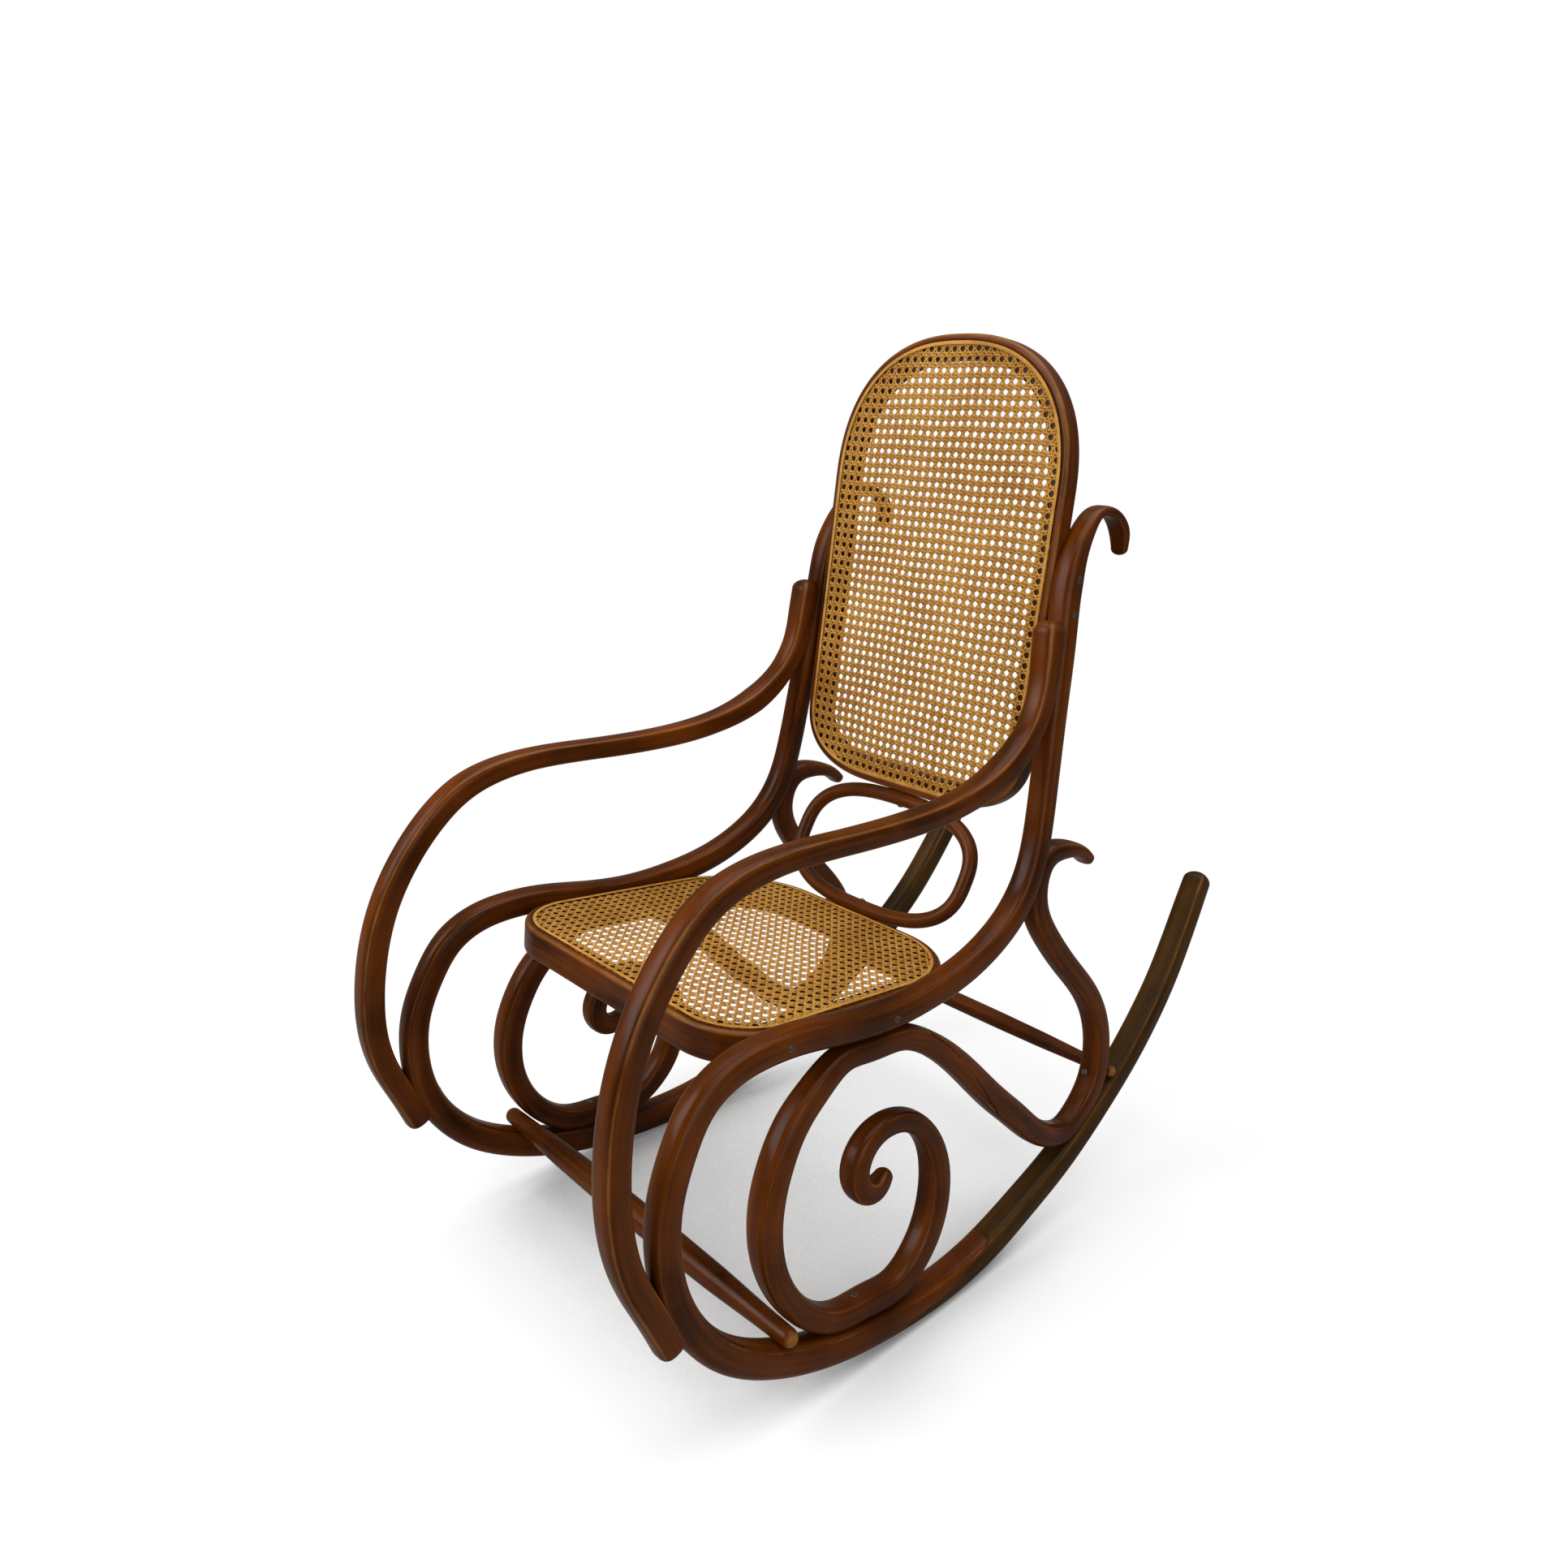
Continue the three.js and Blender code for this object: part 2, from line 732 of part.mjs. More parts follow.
// Places in the panel's and the seat's own frames, as matrices to the chair's frame
function backMatrix() {
  const up = new THREE.Vector3(0, Math.sin(backRadians), Math.cos(backRadians));
  const front = new THREE.Vector3(0, -Math.cos(backRadians), Math.sin(backRadians));
  const matrix = new THREE.Matrix4().makeBasis(new THREE.Vector3(1, 0, 0), up, front);
  return matrix.setPosition(0, backFootY, backFootZ);
}

function seatMatrix() {
  const rear = new THREE.Vector3(0, Math.cos(seatRadians), -Math.sin(seatRadians));
  const up = new THREE.Vector3(0, Math.sin(seatRadians), Math.cos(seatRadians));
  const matrix = new THREE.Matrix4().makeBasis(new THREE.Vector3(1, 0, 0), rear, up);
  return matrix.setPosition(0, seatFrontY, seatFrontZ);
}

// The ring stands against the rear top edge of the seat's rim and carries the back's lower edge
function ringEnds() {
  const reach = ringRodDiameter / 2 / Math.cos(Math.PI / ringSides) + clearance;
  const aside = reach * diagonal - rimChamfer / 2;
  const foot = new THREE.Vector3(0, seatDepth + aside, aside).applyMatrix4(seatMatrix());
  const head = new THREE.Vector3(0, -reach, -ringHeadSetback).applyMatrix4(backMatrix());
  return { foot, head };
}

function ringGeometry({ foot, head }) {
  const up = new THREE.Vector3().subVectors(head, foot);
  const halfHeight = up.length() / 2;
  up.normalize();
  const across = new THREE.Vector3(1, 0, 0);
  const facing = new THREE.Vector3().crossVectors(across, up);
  const centre = new THREE.Vector3().addVectors(foot, head).multiplyScalar(1 / 2);
  const power = 2 / ringRoundness;
  const radius = ringRodDiameter / 2 / Math.cos(Math.PI / ringSides);
  const line = [];
  for (let i = 0; i < ringSteps; i += 1) {
    const angle = i / ringSteps * 2 * Math.PI;
    const x = ringHalfWidth * Math.sign(Math.cos(angle)) * Math.abs(Math.cos(angle)) ** power;
    const y = halfHeight * Math.sign(Math.sin(angle)) * Math.abs(Math.sin(angle)) ** power;
    line.push(new THREE.Vector2(x, y));
  }
  const outline = line.map((point, i) => {
    const before = line[(i + ringSteps - 1) % ringSteps];
    const after = line[(i + 1) % ringSteps];
    return { point, normal: new THREE.Vector2(after.y - before.y, before.x - after.x).normalize() };
  });
  const profile = [];
  for (let i = 0; i < ringSides; i += 1) {
    const angle = i / ringSides * 2 * Math.PI;
    profile.push([-radius * Math.cos(angle), -radius * Math.sin(angle)]);
  }
  const matrix = new THREE.Matrix4().makeBasis(across, up, facing).setPosition(centre);
  return bandGeometry(outline, profile).applyMatrix4(matrix);
}

// A turned stretcher across the chair: slim ends, a long taper and a thicker middle
function stretcherGeometry(centre, halfLength, diameter, endDiameter, roll) {
  const profile = [];
  const half = stretcherShares.map(([along, swell]) => [
    THREE.MathUtils.lerp(endDiameter, diameter, swell) / 2,
    halfLength * (1 - along),
  ]);
  const tip = endDiameter / 2;
  const rounded = [
    [0, halfLength],
    [tip * domeShares[0][1], halfLength],
    [tip * domeShares[1][1], halfLength - tip * domeShares[1][0]],
    [tip, halfLength - tip],
  ];
  const upper = [...rounded, ...half.slice(1)];
  upper.forEach(([radius, y]) => profile.push(new THREE.Vector2(radius, y)));
  upper.slice(0, -1).reverse().forEach(([radius, y]) => profile.push(new THREE.Vector2(radius, -y)));
  const geometry = new THREE.LatheGeometry(profile.reverse(), rodSides);
  geometry.scale(1 / Math.cos(Math.PI / rodSides), 1, 1 / Math.cos(Math.PI / rodSides));
  geometry.rotateY(Math.PI / rodSides);
  geometry.rotateZ(-Math.PI / 2);
  geometry.rotateX(roll);
  return geometry.translate(0, centre.y, centre.z);
}

// Where a bar across the chair lies against two lines, found by pushing it off both in turn
function pocketPlace(place, diameter, lines, rounds) {
  const centre = { y: place[0] * sideReach, z: place[1] * sideReach };
  for (let round = 0; round < rounds; round += 1) {
    lines.forEach((line) => {
      const u = line.nearest(centre.y, centre.z);
      const point = line.getPointAt(u);
      const away = new THREE.Vector2(centre.y - point.y, centre.z - point.z);
      const distance = (line.diameterAt(u) + diameter) / 2 + clearance;
      away.setLength(distance);
      centre.y = point.y + away.x;
      centre.z = point.z + away.y;
    });
  }
  return centre;
}

// A boolean cut: the cutters' material is taken from a body
function solidOf(geometry) {
  const bare = geometry.clone();
  bare.deleteAttribute('normal');
  bare.deleteAttribute('uv');
  const merged = mergeVertices(bare, clearance / 1000);
  return new wasm.Manifold(new wasm.Mesh({
    numProp: 3,
    vertProperties: new Float32Array(merged.getAttribute('position').array),
    triVerts: new Uint32Array(merged.getIndex().array),
  }));
}

function cutGeometry(geometry, cutters) {
  let solid = solidOf(geometry);
  cutters.forEach((cutter) => {
    solid = solid.subtract(solidOf(cutter));
  });
  const mesh = solid.getMesh();
  const result = new THREE.BufferGeometry();
  result.setAttribute('position', new THREE.Float32BufferAttribute(mesh.vertProperties, 3));
  result.setIndex(new THREE.Uint32BufferAttribute(mesh.triVerts, 1));
  return result;
}

// Profiles turned about the screw's axis, which runs down from the surface at height zero
function turned(profile, place, direction) {
  const points = profile.map(([radius, height]) => new THREE.Vector2(radius, height));
  const geometry = new THREE.LatheGeometry(points, screwSides);
  const turn = new THREE.Quaternion().setFromUnitVectors(new THREE.Vector3(0, -1, 0), direction);
  geometry.applyQuaternion(turn);
  return geometry.translate(place.x, place.y, place.z);
}

function screwGeometry(place, direction, length) {
  const head = screwHeadDiameter / 2;
  const shank = screwShankDiameter / 2;
  return turned([
    [0, -length],
    [shank, -length],
    [shank, -screwSink],
    [head, -screwSink],
    [head, screwHeadHeight / 2 - screwSink],
    [head * 3 / 4, screwHeadHeight - screwSink],
    [0, screwHeadHeight - screwSink],
  ], place, direction);
}

function boreGeometry(place, direction, length) {
  const head = screwHeadDiameter / 2 + clearance;
  const shank = screwShankDiameter / 2 + clearance;
  return turned([
    [0, -length - clearance],
    [shank, -length - clearance],
    [shank, -screwSink - clearance],
    [head, -screwSink - clearance],
    [head, overrun],
    [0, overrun],
  ], place, direction);
}

function mirrored(geometry) {
  const copy = geometry.clone().scale(-1, 1, 1);
  const index = copy.getIndex();
  for (let i = 0; i < index.count; i += 3) {
    const first = index.getX(i);
    index.setX(i, index.getX(i + 1));
    index.setX(i + 1, first);
  }
  return copy;
}

const darkWood = { color: '#4a2517', roughness: 0.42, metalness: 0 };
const runnerWood = { color: '#46301b', roughness: 0.5, metalness: 0 };
const rimWood = { color: '#5b2f1c', roughness: 0.42, metalness: 0 };
const cane = { color: '#c39152', roughness: 0.62, metalness: 0 };
const screwSteel = { color: '#6d665c', roughness: 0.4, metalness: 1 };

// The whole chair: pieces are listed with the bores that their screws need
function buildChair() {
  const chair = new THREE.Group();
  const pieces = new Map();

  function addPiece(name, geometry, finish) {
    pieces.set(name, { geometry, finish, bores: [], middle: isMiddle(geometry) });
  }

  function fasten(name, place, direction, length, held) {
    const unit = direction.clone().normalize();
    addPiece(name, screwGeometry(place, unit, length), screwSteel);
    held.forEach((piece) => pieces.get(piece).bores.push(boreGeometry(place, unit, length)));
  }

  const sideLine = new BentLine(sideLinePoints());
  sideLine.level = levelOf(sideLine);
  const braceLine = new BentLine(braceLinePoints(sideLine));
  const armLine = new BentLine(armLinePoints(sideLine));
  const runnerScarf = scarfOf(sideLine, runnerScarfShares, 1);
  const diagonalScarf = scarfOf(braceLine, diagonalScarfShares, -1);
  const seat = seatOutline(seatTouches(sideLine));
  const back = backOutline();
  const ring = ringEnds();

  function addRod(name, line, options, finish) {
    addPiece(name, rodGeometry(line, options), finish);
    pieces.get(name).seat = rodGeometry(line, { ...options, grow: clearance });
  }

  addRod('side_frame', sideLine, { scarf: runnerScarf, piece: 'first' }, darkWood);
  addRod('runner', sideLine, { scarf: runnerScarf, piece: 'second' }, runnerWood);
  addRod('scroll', braceLine, { scarf: diagonalScarf, piece: 'first' }, darkWood);
  addRod('rear_brace', braceLine, { scarf: diagonalScarf, piece: 'second' }, darkWood);
  addRod('arm', armLine, { widthShare: armWidthShare }, darkWood);

  addPiece('back_frame', rimGeometry(back, backRimDepth).applyMatrix4(backMatrix()), rimWood);
  addPiece('back_cane', caneGeometry(back).applyMatrix4(backMatrix()), cane);
  addPiece('back_binder', binderGeometry(back).applyMatrix4(backMatrix()), cane);
  addPiece('seat_frame', rimGeometry(seat, seatRimHeight).applyMatrix4(seatMatrix()), rimWood);
  addPiece('seat_cane', caneGeometry(seat).applyMatrix4(seatMatrix()), cane);
  addPiece('seat_binder', binderGeometry(seat).applyMatrix4(seatMatrix()), cane);
  addPiece('back_ring', ringGeometry(ring), darkWood);

  const frontEnd = frontStretcherEndDiameter;
  const front = besideLine(sideLine, frontStretcherShare, frontEnd, 1);
  const frontReach = sideLine.frameAt(nearestShare(sideLine, frontStretcherShare)).centre.x;
  const frontHalf = frontReach + sideRodDiameter / 2 + stretcherProud;
  addPiece('front_stretcher', stretcherGeometry(
    front, frontHalf, frontStretcherDiameter, frontEnd, rollTowards(sideLine, frontStretcherShare),
  ), darkWood);

  const rearEnd = rearStretcherEndDiameter;
  const rear = pocketPlace(rearStretcherShares, rearEnd, [braceLine, sideLine], curveSamples);
  const rearU = sideLine.nearest(rear.y, rear.z);
  const rearHalf = sideLine.getPointAt(rearU).x + sideRodDiameter / 2;
  addPiece('rear_stretcher', stretcherGeometry(
    rear, rearHalf, rearStretcherDiameter, rearEnd, rollAt(sideLine, rearU),
  ), darkWood);

  fastenSide({ fasten, sideLine, braceLine, front, rear });
  fastenRing({ fasten, ring });

  // Where a piece laps a rod, a shallow seat for the rod is cut into it
  const seats = {
    scroll: ['side_frame', 'runner'],
    rear_brace: ['side_frame', 'runner'],
    arm: ['side_frame'],
    back_frame: ['side_frame'],
    front_stretcher: ['side_frame'],
    rear_stretcher: ['runner', 'rear_brace'],
  };
  Object.entries(seats).forEach(([name, rods]) => {
    rods.forEach((rod) => pieces.get(name).bores.push(pieces.get(rod).seat));
  });

  pieces.forEach(({ geometry, finish, bores, middle }, name) => {
    if (middle) {
      const cutters = bores.flatMap((bore) => (isMiddle(bore) ? [bore] : [bore, mirrored(indexed(bore))]));
      chair.add(meshOf(name, cutGeometry(geometry, cutters), finish));
    } else {
      const cut = cutGeometry(geometry, bores);
      chair.add(meshOf(`${name}_left`, cut, finish));
      chair.add(meshOf(`${name}_right`, mirrored(cut), finish));
    }
  });
  return chair;
}

function indexed(geometry) {
  const bare = geometry.clone();
  bare.deleteAttribute('normal');
  bare.deleteAttribute('uv');
  return mergeVertices(bare, clearance / 1000);
}

function isMiddle(bore) {
  bore.computeBoundingBox();
  return bore.boundingBox.min.x < 0;
}

function meshOf(name, geometry, finish) {
  const mesh = new THREE.Mesh(geometry, new THREE.MeshStandardMaterial(finish));
  mesh.name = name;
  return mesh;
}

function scarfOf(line, places, hand) {
  return { start: nearestShare(line, places[0]), end: nearestShare(line, places[1]), hand };
}

// The level stretch of the side's line, where the underside of the runner lies on the floor
function levelOf(line) {
  const middle = line.nearest(restShare * sideReach, 0);
  const ramp = restRampLength / (restLength + restRampLength);
  const reach = (restLength + restRampLength) / 2 / line.getLength();
  return { middle, reach, ramp, height: line.diameterAt(middle) / 2 };
}

// The turn about X that brings a stretcher's flat against a line
function rollAt(line, u) {
  const { inward } = line.frameAt(u);
  return Math.atan2(inward.z, inward.y);
}

function rollTowards(line, place) {
  return rollAt(line, nearestShare(line, place));
}

// Screws of one side. Each starts on the hidden side of its first rod and ends in the second.
function fastenSide({ fasten, sideLine, braceLine, front, rear }) {
  function alongInward(name, line, place, hand, held) {
    const u = nearestShare(line, place);
    const { centre, inward } = line.frameAt(u);
    const diameter = line.diameterAt(u);
    const start = centre.clone().addScaledVector(inward, -hand * diameter / 2);
    fasten(name, start, inward.clone().multiplyScalar(hand), diameter + screwBite, held);
  }

  alongInward('arm_top_screw', sideLine, armTopScrewShare, -1, ['side_frame', 'arm']);
  alongInward('arm_foot_screw', sideLine, armFootScrewShare, -1, ['side_frame', 'arm']);
  alongInward('scroll_runner_screw', braceLine, scrollRunnerScrewShare, 1, ['scroll', 'side_frame']);
  alongInward('scroll_rail_screw', braceLine, scrollRailScrewShare, 1, ['scroll', 'side_frame']);
  alongInward('brace_runner_screw', braceLine, braceRunnerScrewShare, -1, ['rear_brace', 'runner']);
  alongInward('brace_upright_screw', braceLine, braceUprightScrewShare, 1, ['rear_brace', 'side_frame']);
  alongInward('front_stretcher_screw', sideLine, frontStretcherShare, 1, ['side_frame', 'front_stretcher']);

  const braceU = braceLine.nearest(rear.y, rear.z);
  const brace = braceLine.frameAt(braceU).centre;
  const towards = new THREE.Vector3(0, rear.y - brace.y, rear.z - brace.z).normalize();
  const braceDiameter = braceLine.diameterAt(braceU);
  const rearStart = brace.clone().addScaledVector(towards, -braceDiameter / 2);
  const rearLength = braceDiameter + rearStretcherEndDiameter / 2;
  fasten('rear_stretcher_screw', rearStart, towards, rearLength, ['rear_brace', 'rear_stretcher']);

  function fastenAcross(names, places, held) {
    places.forEach((place, i) => {
      const u = nearestShare(sideLine, place);
      const { centre, side } = sideLine.frameAt(u);
      const diameter = sideLine.diameterAt(u);
      const start = centre.clone().addScaledVector(side, diameter / 2);
      fasten(names[i], start, side.clone().negate(), diameter + screwBite, held);
    });
  }

  fastenAcross(['back_lower_screw', 'back_upper_screw'], backScrewShares, ['side_frame', 'back_frame']);
  fastenAcross(['seat_front_screw', 'seat_rear_screw'], seatScrewShares, ['side_frame', 'seat_frame']);
}

// The ring is screwed slantwise into the seat's rim and up into the back's
function fastenRing({ fasten, ring }) {
  const length = ringRodDiameter + screwBite;
  const down = new THREE.Vector3(0, -1, -1).transformDirection(seatMatrix());
  const up = new THREE.Vector3(0, 1, 0).transformDirection(backMatrix());
  const footStart = ring.foot.clone().addScaledVector(down, -ringRodDiameter / 2);
  const headStart = ring.head.clone().addScaledVector(up, -ringRodDiameter / 2);
  fasten('ring_foot_screw', footStart, down, length, ['back_ring', 'seat_frame']);
  fasten('ring_top_screw', headStart, up, length, ['back_ring', 'back_frame']);
}

// The origin lies on the floor, in the middle of the chair's length and width
function standOnOrigin(chair) {
  const box = new THREE.Box3().setFromObject(chair);
  const centre = box.getCenter(new THREE.Vector3());
  chair.position.set(-centre.x, -centre.y, -box.min.z);
  return chair;
}

export default standOnOrigin(buildChair());
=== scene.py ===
"""Dresses the bentwood rocking chair: smooth bent rods, woven cane, worn stain, studio stage.

Lengths are metres. The chair faces -Y and the sitter's left is +X. Each side is drawn once, as a
line in side view (y, z) that leans in towards the top, and the right side is its mirror image.
"""

import math

import bpy
import numpy as np
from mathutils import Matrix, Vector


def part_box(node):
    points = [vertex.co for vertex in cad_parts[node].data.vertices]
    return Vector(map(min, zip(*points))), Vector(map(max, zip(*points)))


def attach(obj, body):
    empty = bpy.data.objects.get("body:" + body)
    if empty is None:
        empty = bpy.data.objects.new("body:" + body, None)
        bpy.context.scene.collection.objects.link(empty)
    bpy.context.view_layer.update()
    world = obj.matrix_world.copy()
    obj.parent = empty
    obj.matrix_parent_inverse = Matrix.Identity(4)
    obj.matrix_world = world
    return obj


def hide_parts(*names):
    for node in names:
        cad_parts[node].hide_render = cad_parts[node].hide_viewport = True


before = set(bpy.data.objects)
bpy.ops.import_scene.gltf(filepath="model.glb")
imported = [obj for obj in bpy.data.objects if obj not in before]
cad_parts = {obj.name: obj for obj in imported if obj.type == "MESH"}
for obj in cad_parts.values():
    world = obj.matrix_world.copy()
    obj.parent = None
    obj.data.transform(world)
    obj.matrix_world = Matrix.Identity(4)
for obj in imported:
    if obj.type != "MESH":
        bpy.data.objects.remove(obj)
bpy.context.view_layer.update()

bl_info = {
    "name": "Bentwood rocking chair",
    "version": (1, 0, 0),
    "blender": (4, 5, 0),
    "location": "3D View > Sidebar > Rocking chair",
    "description": "Builds the smooth rods, rims, woven cane and finishes of a bentwood rocking chair",
    "category": "Object",
}

SIDES = (("left", 1), ("right", -1))
CLEARANCE = 0.0003
TINY = 1e-6
SHORTEST_STEP = 1e-9

# How finely the curves are worked out
CURVE_SAMPLES = 6000
THICKNESS_WINDOW = CURVE_SAMPLES // 60
BRACE_SOFTENING = 110
ROD_SIDES = 56
ROD_STEP = 0.005
DOME_RINGS = 10
OUTLINE_STEPS = 40
RIM_TURN_STEPS = 6
RIM_STEP = 0.004
BINDER_SIDES = 12
RING_SIDES = 28
RING_STEPS = 240
STRETCHER_SIDES = 40
STRETCHER_STEPS = 60
SCREW_SIDES = 40

# Exponents of the superellipses: 2 is round, and a larger one is squarer
ROD_SQUARENESS = 2.8
ARM_SQUARENESS = 3.0
BINDER_SQUARENESS = 3.0
RING_SQUARENESS = 2.7
BACK_SQUARENESS = 2.35

# Squarer rods are drawn a little smaller. The solids' rods have ten sides, and their ring has eight
ROD_FIT = 0.975
SOLID_ROD_SIDES = 10
SOLID_RING_SIDES = 8
ROD_FACET = 1.0 / math.cos(math.pi / SOLID_ROD_SIDES)
RING_FACET_SHARE = math.cos(math.pi / SOLID_RING_SIDES)

# Wear along the arrises and at the ends, painted shade under the cane, and the shift of the right side's
# grain
ARRIS_WEAR = 0.6
ARM_ARRIS_WEAR = 0.85
ARRIS_WIDTH = 0.22
ARRIS_FADE = 0.008
END_WEAR = 0.4
END_WEAR_REACH = 0.03
TURNED_END_WEAR = 1.6
TURNED_END_REACH = 0.006
RING_WEAR = 0.25
RIM_WEAR_REACH_SHARE = 1.1
# Painted shade on the rebate under the cane and on the upper part of the rim's inner wall
REBATE_PAINTED_SHADE = 1.2
GRAIN_SHIFT = 2.0

# Grime and painted shade by the joints: side view places (y, z) and how far it reaches, in metres
FRAME_GRIME_AND_SHADE = ((0.03, 0.39, 0.05), (0.34, 0.5, 0.04), (0.04, 0.05, 0.05))
BRACE_GRIME_AND_SHADE = ((0.03, 0.39, 0.05), (0.34, 0.5, 0.03), (0.04, 0.05, 0.05), (0.4, 0.11, 0.04))

# Domed ends: their lengths as shares of the rod's radius there
HOOK_DOME_SHARE = 0.9
TAIL_DOME_SHARE = 0.8
SCROLL_DOME_SHARE = 0.9
BRACE_HOOK_DOME_SHARE = 0.7
ARM_DOME_SHARES = (0.8, 0.7)
DOME_TIP_SHARE = 0.02

# The hooks flatten to straps: how far from the tip, and shares of the width and the thickness
FRAME_HOOK_STRAP = (0.13, 1.45, 0.54)
BRACE_HOOK_STRAP = (0.08, 1.25, 0.75)

# Side view places (y, z, thickness) as shares of the side's reach and of the rod's diameter
UPRIGHT_SHARES = (0.84, 0.77, 0.69, 0.61)
UPRIGHT_THICKNESS_SHARES = (1, 0.98, 0.95, 0.94)
HOOK_START_SHARE = 0.872
HOOK_TURN_SHARES = (-0.1, 0.12, 0.36, 0.6, 0.82)
HOOK_THICKNESS_SHARES = (0.42, 0.62, 0.6, 0.6, 0.76)
FRAME_SHARES = (
    (0.3485, 0.551, 0.95),
    (0.333, 0.504, 0.97),
    (0.304, 0.464, 1.0),
    (0.261, 0.435, 1.0),
    (0.208, 0.416, 1.0),
    (0.141, 0.406, 1.0),
    (0.071, 0.405, 1.0),
    (-0.001, 0.415, 1.0),
    (-0.062, 0.427, 1.0),
    (-0.113, 0.431, 1.0),
    (-0.158, 0.426, 1.0),
    (-0.194, 0.408, 1.0),
    (-0.224, 0.368, 1.0),
    (-0.244, 0.321, 1.0),
    (-0.25, 0.269, 1.0),
    (-0.243, 0.218, 1.02),
    (-0.219, 0.164, 1.05),
    (-0.181, 0.118, 1.1),
    (-0.13, 0.082, 1.14),
    (-0.074, 0.056, 1.17),
    (-0.003, 0.035, 1.18),
    (0.073, 0.0235, 1.18),
)
RUNNER_SHARES = (
    (0.155, 0.0195, 1.18),
    (0.237, 0.029, 1.18),
    (0.315, 0.051, 1.16),
    (0.393, 0.078, 1.14),
    (0.445, 0.103, 1.14),
    (0.498, 0.133, 1.14),
    (0.551, 0.167, 1.14),
    (0.598, 0.204, 1.14),
    (0.641, 0.245, 1.13),
    (0.68, 0.293, 1.12),
    (0.716, 0.344, 1.1),
    (0.744, 0.384, 1.05),
)
SCROLL_SHARES = (
    (0.065, 0.218, 0.5),
    (0.051, 0.201, 0.76),
    (0.032, 0.201, 0.86),
    (0.016, 0.214, 0.9),
    (0.01, 0.236, 0.92),
    (0.019, 0.257, 0.92),
    (0.039, 0.272, 0.88),
    (0.066, 0.275, 0.84),
    (0.094, 0.268, 0.8),
    (0.121, 0.247, 0.82),
    (0.139, 0.217, 0.92),
    (0.147, 0.181, 1.02),
    (0.1435, 0.142, 1.06),
    (0.1285, 0.106, 1.06),
    (0.1025, 0.0785, 1.04),
)
SCROLL_REST_SHARES = ((0.064, 0.024), (0.021, 0.03))
SCROLL_REST_THICKNESS_SHARE = 1.02
SCROLL_FRONT_SHARES = (
    (-0.031, 0.076, 0.96),
    (-0.068, 0.1, 0.92),
    (-0.097, 0.136, 0.92),
    (-0.115, 0.175, 0.97),
    (-0.122, 0.218, 1.03),
    (-0.117, 0.262, 1.06),
    (-0.101, 0.301, 1.05),
    (-0.076, 0.337, 1.02),
    (-0.039, 0.363, 0.96),
)
RAIL_CONTACT_SHARES = ((0.008, 0.413), (0.042, 0.409))
RAIL_CONTACT_THICKNESS_SHARE = 0.86
BRACE_DIAGONAL_SHARES = (
    (0.088, 0.372, 0.86),
    (0.13, 0.351, 0.88),
    (0.172, 0.317, 0.94),
    (0.215, 0.272, 1.0),
    (0.262, 0.221, 1.04),
    (0.3, 0.184, 1.04),
    (0.337, 0.147, 1.0),
    (0.373, 0.1235, 0.97),
)
BRACE_REST_SHARES = ((0.42, 0.0915), (0.45, 0.1058))
BRACE_REST_THICKNESS_SHARE = 0.94
BRACE_LOOP_SHARES = (
    (0.464, 0.149, 1.0),
    (0.48, 0.178, 1.0),
    (0.485, 0.214, 0.97),
    (0.473, 0.266, 0.95),
    (0.449, 0.305, 0.93),
    (0.418, 0.34, 0.92),
    (0.39, 0.372, 0.92),
    (0.366, 0.403, 0.92),
)
BEND_CONTACT_SHARES = ((0.316, 0.484), (0.338, 0.52))
BEND_CONTACT_THICKNESS_SHARE = 0.9
BRACE_HOOK_SHARES = (
    (0.393, 0.511, 0.84),
    (0.417, 0.506, 0.76),
    (0.44, 0.494, 0.7),
    (0.453, 0.48, 0.62),
)
ARM_TOP_SHARES = ((0.395, 0.793), (0.388, 0.75))
ARM_TOP_THICKNESS_SHARE = 1.06
ARM_SHARES = (
    (0.352, 0.712, 0.98),
    (0.325, 0.669, 0.96),
    (0.279, 0.637, 1.06),
    (0.211, 0.617, 0.94),
    (0.113, 0.611, 0.88),
    (0.011, 0.616, 0.84),
    (-0.071, 0.62, 0.86),
    (-0.122, 0.616, 0.92),
    (-0.168, 0.602, 0.98),
    (-0.208, 0.573, 1.0),
    (-0.244, 0.531, 1.0),
    (-0.274, 0.478, 1.0),
    (-0.295, 0.406, 1.02),
    (-0.301, 0.352, 1.02),
    (-0.299, 0.304, 1.0),
    (-0.287, 0.256, 0.98),
)
ARM_FOOT_SHARES = ((-0.243, 0.218), (-0.225, 0.176))
ARM_FOOT_THICKNESS_SHARE = 1
ARM_WIDTH_SHARE = 1.04

# Scarfs, stretchers and screws, in the same shares
RUNNER_SCARF_SHARES = ((0.027, 0.028), (0.237, 0.031))
DIAGONAL_SCARF_SHARES = ((0.125, 0.354), (0.265, 0.218))
SCARF_TIP = 0.003
FRONT_STRETCHER_SHARE = (-0.123, 0.078)
REAR_STRETCHER_SHARE = (0.503, 0.181)
BACK_SCREW_SHARES = ((0.396, 0.8), (0.403, 0.84))
SEAT_SCREW_SHARES = ((-0.086, 0.428), (0.071, 0.405))

# Where each side touches the back's rim, and the seat's rim at its front and rear
BACK_TOUCH_SHARE = (0.405, 0.852)
SEAT_TOUCH_SHARES = ((-0.086, 0.428), (0.13, 0.4055))
BACK_FOOT_SHARE = (0.343, 0.541)
SEAT_FRONT_SHARE = (-0.136, 0.437)

